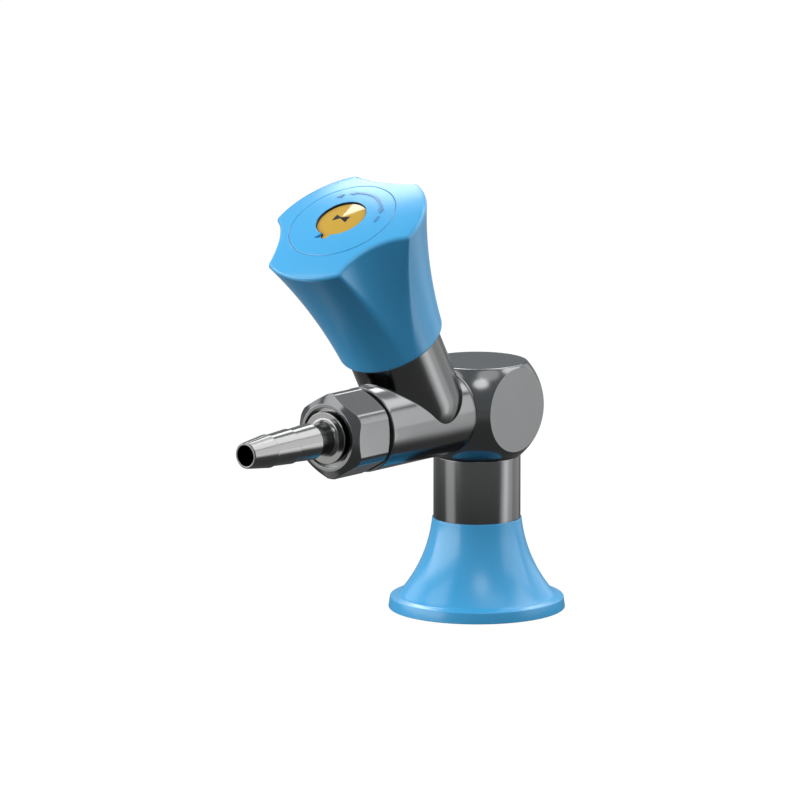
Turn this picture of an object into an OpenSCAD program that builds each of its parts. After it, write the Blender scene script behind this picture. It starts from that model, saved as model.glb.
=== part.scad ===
// Bench tap for compressed air: a flared cover and a column carry a head block, a
// horizontal arm with an inclined valve boss, a lobed handwheel on a rising spindle, and
// a hose nozzle held by a union nut.
// Millimetres. The bench is z = 0, the column stands on the z axis, the outlet points
// along -Y, and the model is the same on both sides of the plane x = 0.

/* [Cover] */
// Diameter of the rim where it stands on the bench
rim_d = 54.8; // [52:0.2:62]
// Diameter of the rim at its upper edge
rim_top_d = 53.8; // [51:0.2:54.8]
// Height of the rim's upright edge
rim_h = 3.5; // [2.5:0.1:4.5]
// Rise of the rim's top from its edge to the skirt
rim_slope = 0.5; // [0.1:0.1:1]
// Diameter at which the flared skirt meets the rim
toe_d = 48.8; // [46:0.2:50]
// Height of the whole cover
cover_h = 28.4; // [25:0.2:34]
// Depth of the skirt's hollow flare
flare = 2.1; // [1.4:0.1:2.5]
// Wall of the skirt
cover_wall = 2.2; // [1.6:0.1:2.6]
// Wall of the lip round the column
lip_wall = 0.3; // [0.2:0.05:0.8]
// Height at which the cover's inside closes on the column
grip_z = 12.8; // [11:0.2:14]

/* [Column] */
// Diameter of the column
column_d = 27; // [26:0.5:29]
// Height of the outlet's axis above the bench
outlet_h = 63.7; // [58:0.1:90]
// Diameter of the air way up the column
column_way_d = 10; // [6:0.5:10.5]
// Inner diameter of the inlet thread in the column's foot
inlet_d = 14.95; // [12:0.05:18]
// Length of the inlet thread
inlet_len = 14; // [10:0.5:18]

/* [Head block] */
// Width of the head block across its flat sides
block_w = 32; // [31:0.2:34]
// Height of the block's top face above the outlet's axis
block_top = 13.75; // [12:0.25:15.5]
// Diameter of the spigots that enter the block
spigot_d = 16; // [15:0.25:16.5]
// Length of the spigots
spigot_len = 6.5; // [5.5:0.25:6.75]
// Diameter of the air way through the block and up to the valve
way_d = 6.4; // [4:0.2:6.6]

/* [Valve body] */
// Diameter of the horizontal arm
arm_d = 26; // [25:0.5:27]
// Distance from the column's axis to the arm's front end
arm_end = 55.2; // [54:0.2:64]
// Diameter of the threaded end that takes the union nut
tail_d = 21.4; // [20.6:0.1:21.6]
// Length of the threaded end
tail_len = 10.8; // [9:0.2:13]
// Diameter of the outlet way
outlet_way_d = 9; // [6:0.25:9.5]
// Distance along the arm between the inlet way's end and the outlet way's end
way_bridge = 4.6; // [4:0.1:5]
// Distance from the column's axis to the point where the boss crosses the arm
boss_reach = 26.4; // [26:0.2:30]
// Angle of the boss above the arm
boss_tilt = 60; // [57:1:63]
// Diameter of the boss
boss_d = 29; // [28:0.1:30]
// Distance from the arm's axis to the top of the boss, along the boss
boss_len = 36; // [34:0.5:42]
// Distance from the arm's axis to the middle of the boss's round foot, along the boss
boss_foot = 7.2; // [6:0.2:9]
// Diameter of the valve chamber
chamber_d = 14; // [12.5:0.25:15]
// Distance from the arm's axis to the chamber's floor, along the boss
chamber_floor = 4; // [3.75:0.05:4.5]
// Diameter of the thread that holds the bonnet
bonnet_d = 18; // [17:0.25:20]
// Length of the thread that holds the bonnet
bonnet_thread = 14; // [11:0.5:16]

/* [Seat] */
// Outer diameter of the seat ring
seat_d = 10; // [9:0.1:11]
// Height of the seat ring
seat_h = 2.5; // [2.2:0.1:3.2]
// Depth to which the seat ring is let into the chamber's floor
seat_sink = 1.5; // [1:0.1:1.8]
// Diameter of the hole in the seat
seat_hole_d = 5; // [4.4:0.1:5.4]

/* [Bonnet] */
// Width of the bonnet's hexagon across its flats
bonnet_hex_w = 22; // [20.5:0.5:23.5]
// Height of the bonnet's hexagon
bonnet_hex_h = 5; // [4:0.25:6]
// Diameter of the bonnet's neck
neck_d = 15; // [14.5:0.25:17]
// Length of the bonnet's neck above the hexagon
neck_len = 13; // [12.5:0.25:13.75]
// Diameter of the guide bush
bush_d = 12; // [11:0.25:12.5]
// Length of the guide bush
bush_len = 4; // [3:0.25:4.25]

/* [Cone] */
// Diameter of the valve cone
cone_d = 10.8; // [10.2:0.1:11.8]
// Height of the valve cone's head
cone_h = 3; // [2.6:0.1:3.6]
// Diameter of the soft seal in the cone
seal_d = 9.2; // [8.6:0.1:9.4]
// Thickness of the soft seal
seal_h = 1.4; // [1:0.1:1.6]
// Diameter of the throttle plug where it enters the seat
plug_d = 4.3; // [3.8:0.1:4.4]
// Length of the throttle plug below the seal
plug_len = 5; // [3.5:0.25:5]
// Diameter of the plug's stub and of its point
stub_d = 2.2; // [1.8:0.1:2.6]
// Length of the plug's stub above the seal
stub_len = 1.4; // [1:0.1:1.5]
// Diameter of the stem that swivels in the spindle
stem_d = 3.6; // [3:0.1:3.8]
// Diameter of the collar on the end of that stem
collar_d = 5.4; // [5:0.1:5.6]
// Height of that collar
collar_h = 1.5; // [1:0.1:2]
// Thickness of the clip under that collar
clip_h = 0.8; // [0.6:0.1:1]
// Depth to which the clip enters the spindle's wall
clip_bite = 0.5; // [0.3:0.1:0.7]
// Distance from the spindle's lower end to the clip
clip_inset = 1.5; // [1:0.1:2]

/* [Spindle] */
// Diameter of the spindle's thread
spindle_d = 10; // [9.6:0.1:10.4]
// Diameter of the spindle where the rings seal it
shaft_d = 9; // [8.6:0.1:9.2]
// Width of the spindle's square across its flats
square_w = 7; // [6.4:0.1:7.2]
// Length of the spindle's square
square_len = 9.8; // [9:0.2:10]
// Travel of the spindle from shut to open
travel = 3; // [1:0.25:3]
// Length of the bonnet's bore above the thread, up to the hexagon's top
thread_relief = 2.4; // [1.6:0.1:3]
// Thickness of the rings round the spindle
spindle_ring = 1.2; // [1:0.05:1.3]
// Distance from ring to ring
ring_pitch = 4.5; // [3.5:0.1:4.8]

/* [Handwheel] */
// Diameter over the lobes at the top
wheel_d = 52.8; // [50:0.2:58]
// Diameter at the bottom
wheel_foot_d = 33.2; // [33:0.1:35.4]
// Length of the boss that the handwheel covers when the valve is shut
wheel_cover = 6.5; // [5:0.1:9]
// Gap between the bonnet's top and the hub insert when the valve is shut
hub_gap = 3.2; // [2.6:0.1:4]
// Distance from the hub insert's top to the top of the crown
crown_rise = 9; // [8.4:0.1:12]
// Radius of the crowned top
crown_r = 110; // [95:5:160]
// Depth of the hollow in the lobes' side
wheel_hollow = 1.4; // [0.8:0.1:2]
// Number of finger flutes
flute_count = 3; // [3:1:5]
// Diameter of the cutter that shapes a finger flute
flute_d = 53.4; // [48:0.2:60]
// Distance from the axis to the flute's floor at the top
flute_floor_top = 20.75; // [19.8:0.05:22]
// Distance from the axis to the flute's floor at the bottom
flute_floor_foot = 16.5; // [16.4:0.05:17]
// Rounding of the lobes' top edge
edge_r = 1.2; // [0.6:0.1:2]
// Rounding of the handwheel's bottom edge
foot_r = 1.4; // [0.8:0.1:1.6]
// Diameter of the hub insert
hub_d = 14; // [12.5:0.25:15]
// Height of the hub insert
hub_h = 10.8; // [10.4:0.2:11.4]
// Wall of the handwheel round the hub insert
hub_wall = 2.5; // [2:0.1:4]
// Length of the hub's wall below the hub insert
hub_lead = 1.2; // [0.8:0.1:2]
// Thickness of the web from the hub to the lobes
hub_web = 2; // [1.5:0.25:3]
// Diameter of the hollow under the cap
core_d = 29; // [22:0.5:30]
// Diameter of the cap in the handwheel's top
cap_d = 34.2; // [32:0.2:36]
// Distance from the crown's top down to the cap's seat
cap_sink = 3.8; // [3.2:0.1:4.2]
// Height of the cap's spigot
cap_spigot_h = 1; // [0.6:0.1:1.4]
// Wall of the cap's spigot
cap_spigot_wall = 1.2; // [0.8:0.1:1.6]
// Diameter of the index disc
disc_d = 15.9; // [14:0.1:17]
// Thickness of the index disc
disc_h = 1; // [0.6:0.1:1.2]
// Depth of the index disc's edge below the crown
disc_sink = 1.1; // [1:0.1:1.4]
// Rise of the index disc's coned face to its centre
disc_rise = 0.9; // [0.5:0.1:0.9]
// Width of the index disc's lug
lug_w = 2.8; // [2:0.1:3.4]
// Reach of the index disc's lug beyond the disc
lug_reach = 1.9; // [1.5:0.1:2.4]

/* [Handwheel screw] */
// Diameter of the screw's thread
screw_d = 4; // [3.4:0.1:4.2]
// Diameter of the thread's core, to which the hole in the spindle is drilled
screw_core_d = 3.3; // [2.5:0.1:3.4]
// Length of the screw below its head
screw_len = 9; // [7:0.5:11]
// Diameter of the screw's head
screw_head_d = 7; // [6.4:0.1:7.6]
// Height of the screw's head
screw_head_h = 2.4; // [1.6:0.1:2.6]
// Width of the hexagon socket in the head across its flats
screw_socket_w = 2.5; // [2:0.1:3]
// Depth of the hexagon socket
screw_socket_h = 1.2; // [0.8:0.1:1.4]
// Diameter of the washer under the screw's head
washer_d = 9; // [8:0.1:10]
// Thickness of that washer
washer_h = 0.6; // [0.4:0.1:0.8]

/* [Union nut] */
// Width of the nut across its flats
nut_w = 24; // [23.8:0.1:26]
// Diameter to which the nut's corners are turned
nut_turned_d = 26.2; // [25:0.1:27]
// Gap between the arm's front end and the nut
nut_gap = 0.9; // [0.6:0.1:2]
// Thickness of the nut's front lip
nut_lip = 2; // [1.4:0.1:2.4]
// Diameter of the hole in the nut's lip
nut_hole_d = 18.4; // [17.8:0.1:18.6]
// Diameter of the nut's flat front face
nut_face_d = 20.6; // [20:0.1:21.6]
// Length of the nut's front chamfer
nut_chamfer = 2; // [1.4:0.1:2.4]
// Diameter of the nut's flat back face
nut_back_d = 24; // [23.4:0.1:25]
// Length of the nut's back chamfer
nut_back_chamfer = 0.7; // [0.4:0.1:1]

/* [Hose nozzle] */
// Diameter of the flange that the nut holds
flange_d = 20.4; // [19.6:0.1:20.8]
// Thickness of that flange
flange_h = 2; // [1.4:0.1:3]
// Length of the plain neck behind the barbs
nozzle_neck_len = 4.7; // [3:0.1:10]
// Diameter of the collar that stands out of the nut's hole
nozzle_collar_d = 16; // [15.4:0.1:16.8]
// Height of that collar above the flange
nozzle_collar_h = 3; // [2.4:0.1:3.4]
// Diameter of the bore
nozzle_bore_d = 6.4; // [5:0.1:6.6]
// Outer diameter at the tip
tip_d = 8; // [7.6:0.1:8.6]
// Diameter of the neck behind the barbs
nozzle_neck_d = 9.8; // [9:0.1:11]
// Number of barbs
barb_count = 3; // [2:1:5]
// Distance from barb to barb
barb_pitch = 9.8; // [7:0.1:10]
// Diameter of the first barb
barb_d = 10.2; // [9.8:0.1:10.8]
// Growth of each barb's diameter over the one before it
barb_growth = 0.5; // [0.2:0.1:0.6]
// Height of each barb's step
barb_step = 0.35; // [0.2:0.05:0.5]
// Width of the land on each barb's edge
barb_land = 0.3; // [0.1:0.05:0.6]
// Chamfer of the tip's edge
tip_edge = 0.3; // [0.1:0.05:0.6]
// Rounding between the neck and the collar
nozzle_fillet = 2.3; // [1:0.1:2.5]
// Thickness of the flat gasket behind the nozzle
gasket_h = 1.5; // [1:0.1:2]
// Distance from the flange's edge in to the gasket's
gasket_inset = 0.5; // [0.3:0.1:1]

/* [Seals] */
// Thickness of the round rings in the head block
block_ring = 1.4; // [1.2:0.05:1.6]
// Thickness of the round ring under the bonnet
bonnet_ring = 1.4; // [1.2:0.05:1.6]
// Thickness of the round ring inside the cover
cover_ring = 1.4; // [1.2:0.05:1.6]
// Width of the gasket under the cover's rim
base_gasket_w = 2; // [1.4:0.1:2.4]
// Thickness of the gasket under the cover's rim
base_gasket_h = 1.2; // [0.8:0.1:1.6]

/* [Clearances] */
// Radial play of a fixed piece in its seat
slip = 0.05; // [0.02:0.01:0.08]
// Radial play of a turning shaft in its hole
running = 0.05; // [0.02:0.01:0.08]
// Gap between moving pieces that don't guide each other
clear = 0.3; // [0.25:0.05:0.4]
// Gap between the seal and the seat when the valve is shut
shut_gap = 0.1; // [0.05:0.05:0.2]

/* [Hidden] */
$fn = 96;
// Steps in a long arc and in a round corner of an outline
arc_steps = 20;
corner_steps = 6;
// Overshoot of a cutter past the face that it cuts
eps = 1;
// Width of a ring's groove, to the ring's thickness
groove_ratio = 1.3;

blue = [0.33, 0.66, 0.86];
grey = [0.36, 0.37, 0.38];
bright = [0.78, 0.79, 0.80];
brass = [0.80, 0.66, 0.36];
black = [0.08, 0.08, 0.08];
amber = [0.80, 0.63, 0.24];
white = [0.92, 0.92, 0.90];

// Heights up the column
// The block is turned to a ball, so that its flat sides are circles of the arm's diameter
block_face = block_w / 2;
ball_r = norm([block_face, arm_d / 2]);
block_foot = outlet_h - sqrt(ball_r * ball_r - pow(column_d / 2, 2));
column_top = block_foot + spigot_len;
spigot_back = block_face - spigot_len;

// Places along the boss, from the arm's axis
seat_base = chamber_floor - seat_sink;
seat_face = seat_base + seat_h;
chamber_top = boss_len - bonnet_thread;
bonnet_shoulder = boss_len + bonnet_hex_h;
bonnet_top = bonnet_shoulder + neck_len;
bush_base = bonnet_top - bush_len;
seal_face = seat_face + shut_gap;
cone_base = seal_face + seal_h / 2;
cone_top = cone_base + cone_h;
spindle_base = cone_top + shut_gap;
clip_base = spindle_base + clip_inset;
collar_base = clip_base + clip_h + 3 * clear;
socket_top = collar_base + collar_h + clear;
thread_stop = bonnet_shoulder - thread_relief;
thread_top = thread_stop - travel - clear;
first_ring = thread_stop + 2 * spindle_ring;
hub_base = bonnet_top + hub_gap;
hub_top = hub_base + hub_h;
square_top = hub_base + square_len;
wheel_bottom = boss_len - wheel_cover;
wheel_top = hub_top + crown_rise;
cap_seat = wheel_top - cap_sink;

// Radii of the spindle's parts
socket_r = collar_d / 2 + clear;
clip_groove_r = socket_r + clip_bite;

// Places along the arm, from the column's axis
tail_end = arm_end + tail_len;
nozzle_back = tail_end + gasket_h;
lip_back = nozzle_back + flange_h;
nut_back = arm_end + nut_gap;
nut_front = lip_back + nut_lip;
nut_len = nut_front - nut_back;
collar_face = lip_back + nozzle_collar_h;
barbs_back = collar_face + nozzle_fillet + nozzle_neck_len;
nozzle_end = barbs_back + barb_count * barb_pitch;

// Points of an arc from p to q that bulges by sag to the left of the way from p to q
function arc_centre(p, q, sag) =
    let (half = norm(q - p) / 2, r = (half * half + sag * sag) / (2 * sag),
         along = (q - p) / (2 * half), left = [-along[1], along[0]])
    (p + q) / 2 - left * (r - sag);
function arc(p, q, sag, steps) =
    let (c = arc_centre(p, q, sag), r = norm(p - c),
         from = atan2(p[1] - c[1], p[0] - c[0]),
         sweep = 2 * asin(norm(q - p) / (2 * r)))
    [for (i = [0:steps]) c + r * [cos(from - sweep * i / steps), sin(from - sweep * i / steps)]];

// Points of a round corner of radius r about c, from angle a to angle b
function corner(c, r, a, b, steps) =
    [for (i = [0:steps]) c + r * [cos(a + (b - a) * i / steps), sin(a + (b - a) * i / steps)]];

// Height of the crowned top at a distance from the handwheel's axis
function crown(r) = wheel_top - crown_r + sqrt(crown_r * crown_r - r * r);

// Places its children in the boss's frame: z runs up the boss from the arm's axis
module boss_frame() {
    translate([0, -boss_reach, outlet_h])
        rotate([90 - boss_tilt, 0, 0])
            children();
}

// Places its children in the arm's frame: z runs out of the arm from the column's axis
module arm_frame() {
    translate([0, 0, outlet_h])
        rotate([90, 0, 0])
            children();
}

// Cylinder from one height to another
module bar(d, from, to) {
    translate([0, 0, from])
        cylinder(d = d, h = to - from);
}

// Ring of round section: its inner radius and its thickness
module round_ring(inner_r, thickness) {
    rotate_extrude()
        translate([inner_r + thickness / 2, 0])
            circle(d = thickness, $fn = 32);
}

// Groove of a ring that lies in the outside of a spigot
module outer_groove(outer_d, thickness) {
    difference() {
        bar(outer_d + eps, -thickness * groove_ratio / 2, thickness * groove_ratio / 2);
        bar(outer_d - 2 * thickness, -thickness, thickness);
    }
}

// Places along the pieces of the rings and their grooves
column_ring_z = column_top - spigot_len / 2;
arm_ring_z = block_face - spigot_len / 2;
bonnet_ring_z = boss_len - bonnet_ring * groove_ratio / 2;
cover_ring_z = grip_z + cover_ring * groove_ratio;

module column() {
    color(grey) difference() {
        union() {
            bar(column_d, 0, block_foot);
            bar(spigot_d, block_foot - eps, column_top);
        }
        bar(column_way_d, -eps, column_top + eps);
        bar(inlet_d, -eps, inlet_len);
        translate([0, 0, column_ring_z])
            outer_groove(spigot_d, block_ring);
    }
}

module column_o_ring() {
    color(black)
        translate([0, 0, column_ring_z])
            round_ring(spigot_d / 2 - block_ring, block_ring);
}

// Half section of the cover: the flared skirt, its rim and the hollow inside
lip_r = column_d / 2 + slip + lip_wall;
skirt_top = [lip_r, cover_h];
skirt_toe = [toe_d / 2, rim_h + rim_slope];

module cover_section() {
    outside = arc(skirt_toe, skirt_top, flare, arc_steps);
    inner_r = norm(skirt_toe - arc_centre(skirt_toe, skirt_top, flare)) + cover_wall;
    groove_h = cover_ring * groove_ratio;
    difference() {
        polygon(concat([[0, 0], [rim_d / 2, 0], [rim_top_d / 2, rim_h]], outside, [[0, cover_h]]));
        // The hollow follows the skirt at the wall's distance
        difference() {
            translate([0, -eps])
                square([toe_d / 2 - cover_wall, grip_z + eps]);
            translate(arc_centre(skirt_toe, skirt_top, flare))
                circle(r = inner_r, $fn = 180);
        }
        translate([-eps, -eps])
            square([column_d / 2 + slip + eps, cover_h + 2 * eps]);
        translate([0, cover_ring_z - groove_h / 2])
            square([column_d / 2 + slip + cover_ring, groove_h]);
        translate([toe_d / 2 - base_gasket_w / 2, -eps])
            square([base_gasket_w + 2 * slip, base_gasket_h + eps]);
    }
}

module cover() {
    color(blue)
        rotate_extrude()
            cover_section();
}

module cover_o_ring() {
    color(black)
        translate([0, 0, cover_ring_z])
            round_ring(column_d / 2, cover_ring);
}

module base_gasket() {
    color(black) difference() {
        bar(toe_d + base_gasket_w + 2 * slip, 0, base_gasket_h);
        bar(toe_d - base_gasket_w + 2 * slip, -eps, base_gasket_h + eps);
    }
}

module head_block() {
    color(grey) difference() {
        translate([0, 0, outlet_h])
            intersection() {
                sphere(r = ball_r);
                translate([-block_face, -block_face, block_foot - outlet_h])
                    cube([block_w, block_w, outlet_h - block_foot + block_top]);
            }
        bar(spigot_d + 2 * slip, block_foot - eps, column_top);
        bar(way_d, column_top - eps, outlet_h);
        arm_frame() {
            bar(spigot_d + 2 * slip, spigot_back, block_face + eps);
            bar(way_d, -way_d / 2, spigot_back + eps);
        }
    }
}

module valve_body() {
    color(grey) difference() {
        union() {
            arm_frame() {
                bar(arm_d, block_face, arm_end);
                bar(spigot_d, spigot_back, block_face + eps);
                bar(tail_d, arm_end - eps, tail_end);
            }
            boss_frame() {
                bar(boss_d, boss_foot, boss_len);
                // The foot is a ball that runs into the arm
                translate([0, 0, boss_foot])
                    sphere(d = boss_d);
            }
        }
        arm_frame() {
            bar(way_d, spigot_back - eps, boss_reach);
            bar(outlet_way_d, boss_reach + way_bridge, tail_end + eps);
            translate([0, 0, arm_ring_z])
                outer_groove(spigot_d, block_ring);
        }
        boss_frame() {
            bar(seat_hole_d, 0, chamber_floor);
            bar(seat_d + 2 * slip, seat_base, chamber_floor + eps);
            bar(chamber_d, chamber_floor, chamber_top + eps);
            bar(bonnet_d + 2 * slip, chamber_top, boss_len + eps);
        }
    }
}

module arm_o_ring() {
    color(black)
        arm_frame()
            translate([0, 0, arm_ring_z])
                round_ring(spigot_d / 2 - block_ring, block_ring);
}

module seat_ring() {
    color(brass)
        boss_frame()
            difference() {
                bar(seat_d, seat_base, seat_face);
                bar(seat_hole_d, seat_base - eps, seat_face + eps);
            }
}

module bonnet() {
    color(brass)
        boss_frame()
            difference() {
                union() {
                    bar(bonnet_d, chamber_top, boss_len);
                    bar(neck_d, boss_len, bonnet_top);
                    translate([0, 0, boss_len])
                        cylinder(d = bonnet_hex_w / cos(30), h = bonnet_hex_h, $fn = 6);
                }
                bar(spindle_d + 2 * running, chamber_top - eps, thread_stop);
                bar(shaft_d + 2 * running, thread_stop - eps, bonnet_top + eps);
                bar(bush_d + 2 * slip, bush_base, bonnet_top + eps);
                translate([0, 0, bonnet_ring_z])
                    outer_groove(bonnet_d, bonnet_ring);
            }
}

module bonnet_o_ring() {
    color(black)
        boss_frame()
            translate([0, 0, bonnet_ring_z])
                round_ring(bonnet_d / 2 - bonnet_ring, bonnet_ring);
}

module guide_bush() {
    color(white)
        boss_frame()
            difference() {
                bar(bush_d, bush_base, bonnet_top);
                bar(shaft_d + 2 * running, bush_base - eps, bonnet_top + eps);
            }
}

module nozzle_gasket() {
    color(black)
        arm_frame()
            difference() {
                bar(flange_d - 2 * gasket_inset, tail_end, nozzle_back);
                bar(outlet_way_d + 2 * gasket_inset, tail_end - eps, nozzle_back + eps);
            }
}

// Half section of the nozzle as points of radius and distance from the column's axis
function barb_points(i) =
    let (step_z = nozzle_end - (i + 1) * barb_pitch, top_r = (barb_d + i * barb_growth) / 2)
    [[top_r, step_z + barb_land], [top_r, step_z], [top_r - barb_step, step_z]];

module nozzle_section() {
    neck_r = nozzle_neck_d / 2;
    fillet_centre = [neck_r + nozzle_fillet, collar_face + nozzle_fillet];
    polygon(concat(
        [[0, nozzle_back], [flange_d / 2, nozzle_back], [flange_d / 2, lip_back],
         [nozzle_collar_d / 2, lip_back], [nozzle_collar_d / 2, collar_face]],
        corner(fillet_centre, nozzle_fillet, 270, 180, corner_steps),
        [[neck_r, barbs_back]],
        [for (i = [barb_count - 1:-1:0], k = [2:-1:0]) barb_points(i)[k]],
        [[tip_d / 2, nozzle_end - tip_edge], [tip_d / 2 - tip_edge, nozzle_end], [0, nozzle_end]]));
}

module hose_nozzle() {
    color(bright)
        arm_frame()
            difference() {
                rotate_extrude()
                    nozzle_section();
                bar(nozzle_bore_d, nozzle_back - eps, nozzle_end + eps);
            }
}

module union_nut() {
    front_growth = (nut_turned_d - nut_face_d) / nut_chamfer;
    back_growth = (nut_turned_d - nut_back_d) / nut_back_chamfer;
    color(grey)
        arm_frame()
            difference() {
                intersection() {
                    translate([0, 0, nut_back])
                        rotate([0, 0, 30])
                            cylinder(d = nut_w / cos(30), h = nut_len, $fn = 6);
                    bar(nut_turned_d, nut_back, nut_front);
                    translate([0, 0, nut_back])
                        cylinder(d1 = nut_face_d + nut_len * front_growth, d2 = nut_face_d, h = nut_len);
                    translate([0, 0, nut_back])
                        cylinder(d1 = nut_back_d, d2 = nut_back_d + nut_len * back_growth, h = nut_len);
                }
                bar(tail_d + 2 * slip, nut_back - eps, lip_back);
                bar(nut_hole_d, nut_back, nut_front + eps);
            }
}

module valve_cone() {
    color(brass)
        boss_frame()
            difference() {
                union() {
                    bar(cone_d, cone_base, cone_top);
                    bar(stem_d, cone_base, collar_base + collar_h);
                    bar(collar_d, collar_base, collar_base + collar_h);
                }
                bar(seal_d + 2 * slip, cone_base - eps, seal_face + seal_h);
                bar(stub_d + 2 * slip, cone_base, seal_face + seal_h + stub_len + slip);
            }
}

module cone_seal() {
    color(white)
        boss_frame()
            difference() {
                bar(seal_d, seal_face, seal_face + seal_h);
                bar(stub_d + 2 * slip, seal_face - eps, seal_face + seal_h + eps);
            }
}

module throttle_plug() {
    color(brass)
        boss_frame() {
            translate([0, 0, seal_face - plug_len])
                cylinder(d1 = stub_d, d2 = plug_d, h = plug_len);
            bar(stub_d, seal_face - eps / 2, seal_face + seal_h + stub_len);
        }
}

module spindle() {
    color(bright)
        boss_frame()
            difference() {
                union() {
                    bar(spindle_d, spindle_base, thread_top);
                    bar(shaft_d, spindle_base, hub_base);
                    intersection() {
                        bar(shaft_d, hub_base - eps, square_top);
                        translate([-square_w / 2, -square_w / 2, hub_base - eps])
                            cube([square_w, square_w, square_len + eps]);
                    }
                }
                bar(2 * socket_r, spindle_base - eps, socket_top);
                bar(2 * clip_groove_r, clip_base - slip, clip_base + clip_h + slip);
                bar(screw_core_d + 2 * slip, hub_top + washer_h - screw_len - clear, square_top + eps);
                for (i = [0, 1])
                    translate([0, 0, first_ring + i * ring_pitch])
                        outer_groove(shaft_d, spindle_ring);
            }
}

module spindle_o_rings() {
    color(black)
        boss_frame()
            for (i = [0, 1])
                translate([0, 0, first_ring + i * ring_pitch])
                    round_ring(shaft_d / 2 - spindle_ring, spindle_ring);
}

module cone_clip() {
    color(bright)
        boss_frame()
            difference() {
                bar(2 * (clip_groove_r - slip), clip_base, clip_base + clip_h);
                bar(stem_d + 2 * clear, clip_base - eps, clip_base + clip_h + eps);
                translate([-stem_d / 4, 0, clip_base - eps])
                    cube([stem_d / 2, spindle_d, clip_h + 2 * eps]);
            }
}

module hub_insert() {
    square_gap = square_w + 2 * slip;
    color(brass)
        boss_frame()
            difference() {
                bar(hub_d, hub_base, hub_top);
                intersection() {
                    bar(shaft_d + 2 * slip, hub_base - eps, hub_top + eps);
                    translate([-square_gap / 2, -square_gap / 2, hub_base - eps])
                        cube([square_gap, square_gap, hub_h + 2 * eps]);
                }
            }
}

// Half section of the handwheel before the flutes are cut
module handwheel_section() {
    // The rounded edge runs into the side and into the crown
    edge_centre_r = wheel_d / 2 - edge_r;
    edge_angle = acos(edge_centre_r / (crown_r - edge_r));
    edge_z = wheel_top - crown_r + (crown_r - edge_r) * sin(edge_angle);
    crown_edge = crown_r * cos(edge_angle);
    polygon(concat(
        [[0, wheel_bottom]],
        corner([wheel_foot_d / 2 - foot_r, wheel_bottom + foot_r], foot_r, -90, 0, corner_steps),
        arc([wheel_foot_d / 2, wheel_bottom + foot_r], [wheel_d / 2, edge_z], wheel_hollow,
            arc_steps),
        corner([edge_centre_r, edge_z], edge_r, 0, edge_angle, corner_steps),
        [for (i = [corner_steps - 1:-1:0])
            let (r = crown_edge * i / corner_steps) [r, crown(r)]]));
}

// The hollow that takes the boss and the bonnet
hollow_d = boss_d + 2 * clear;
hollow_top = hub_base - hub_lead;
hub_boss_d = hub_d + 2 * hub_wall;

module handwheel() {
    flute_r = flute_d / 2;
    lean = atan2(flute_floor_top - flute_floor_foot, wheel_top - wheel_bottom);
    color(blue)
        boss_frame()
            difference() {
                rotate_extrude()
                    handwheel_section();
                for (i = [0:flute_count - 1])
                    rotate([0, 0, 90 + i * 360 / flute_count])
                        translate([flute_floor_foot + flute_r / cos(lean), 0, wheel_bottom])
                            rotate([0, lean, 0])
                                bar(flute_d, -wheel_foot_d, wheel_top);
                bar(hollow_d, wheel_bottom - eps, hollow_top);
                // The hollow goes on round the boss of the hub
                difference() {
                    bar(hollow_d, hollow_top - eps, hub_top - hub_web);
                    bar(hub_boss_d, hollow_top - 2 * eps, hub_top);
                }
                bar(hub_d + 2 * slip, hollow_top - 2 * eps, hub_top + eps);
                bar(core_d, hub_top, wheel_top + eps);
                bar(cap_d + 2 * slip, cap_seat, wheel_top + eps);
            }
}

module handwheel_screw() {
    head_base = hub_top + washer_h;
    color(bright)
        boss_frame()
            difference() {
                union() {
                    bar(screw_head_d, head_base, head_base + screw_head_h);
                    bar(screw_core_d, head_base - screw_len, head_base + eps);
                }
                translate([0, 0, head_base + screw_head_h - screw_socket_h])
                    cylinder(d = screw_socket_w / cos(30), h = screw_socket_h + eps, $fn = 6);
            }
}

module screw_washer() {
    color(bright)
        boss_frame()
            difference() {
                bar(washer_d, hub_top, hub_top + washer_h);
                bar(screw_d + clear, hub_top - eps, hub_top + washer_h + eps);
            }
}

// Plan of the index disc, grown by a gap: a circle with a rounded lug
module disc_plan(grow) {
    circle(r = disc_d / 2 + grow);
    translate([0, -disc_d / 2 - lug_reach + lug_w / 2])
        circle(r = lug_w / 2 + grow, $fn = 48);
    translate([-lug_w / 2 - grow, -disc_d / 2 - lug_reach + lug_w / 2])
        square([lug_w + 2 * grow, disc_d / 4]);
}

disc_base = wheel_top - disc_sink - disc_h;

module handwheel_cap() {
    color(blue)
        boss_frame()
            difference() {
                union() {
                    intersection() {
                        bar(cap_d, cap_seat, wheel_top);
                        translate([0, 0, wheel_top - crown_r])
                            sphere(r = crown_r, $fn = 360);
                    }
                    bar(core_d - 2 * slip, cap_seat - cap_spigot_h, cap_seat + eps);
                }
                bar(core_d - 2 * slip - 2 * cap_spigot_wall, cap_seat - cap_spigot_h - eps, cap_seat);
                translate([0, 0, disc_base])
                    linear_extrude(disc_h + disc_sink + eps)
                        disc_plan(slip);
            }
}

module index_disc() {
    color(amber)
        boss_frame()
            translate([0, 0, disc_base]) {
                linear_extrude(disc_h)
                    disc_plan(0);
                translate([0, 0, disc_h])
                    cylinder(d1 = disc_d, d2 = 0, h = disc_rise);
            }
}

column();
column_o_ring();
cover();
cover_o_ring();
base_gasket();
head_block();
valve_body();
arm_o_ring();
seat_ring();
bonnet();
bonnet_o_ring();
guide_bush();
nozzle_gasket();
hose_nozzle();
union_nut();
valve_cone();
cone_seal();
throttle_plug();
spindle();
spindle_o_rings();
cone_clip();
hub_insert();
handwheel();
handwheel_screw();
screw_washer();
handwheel_cap();
index_disc();
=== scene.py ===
"""Looks of a bench tap for compressed air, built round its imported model.

Sizes are in millimetres, in the frame of each piece. A mesh is brought to metres and to
its place before it becomes an object.
"""

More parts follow.
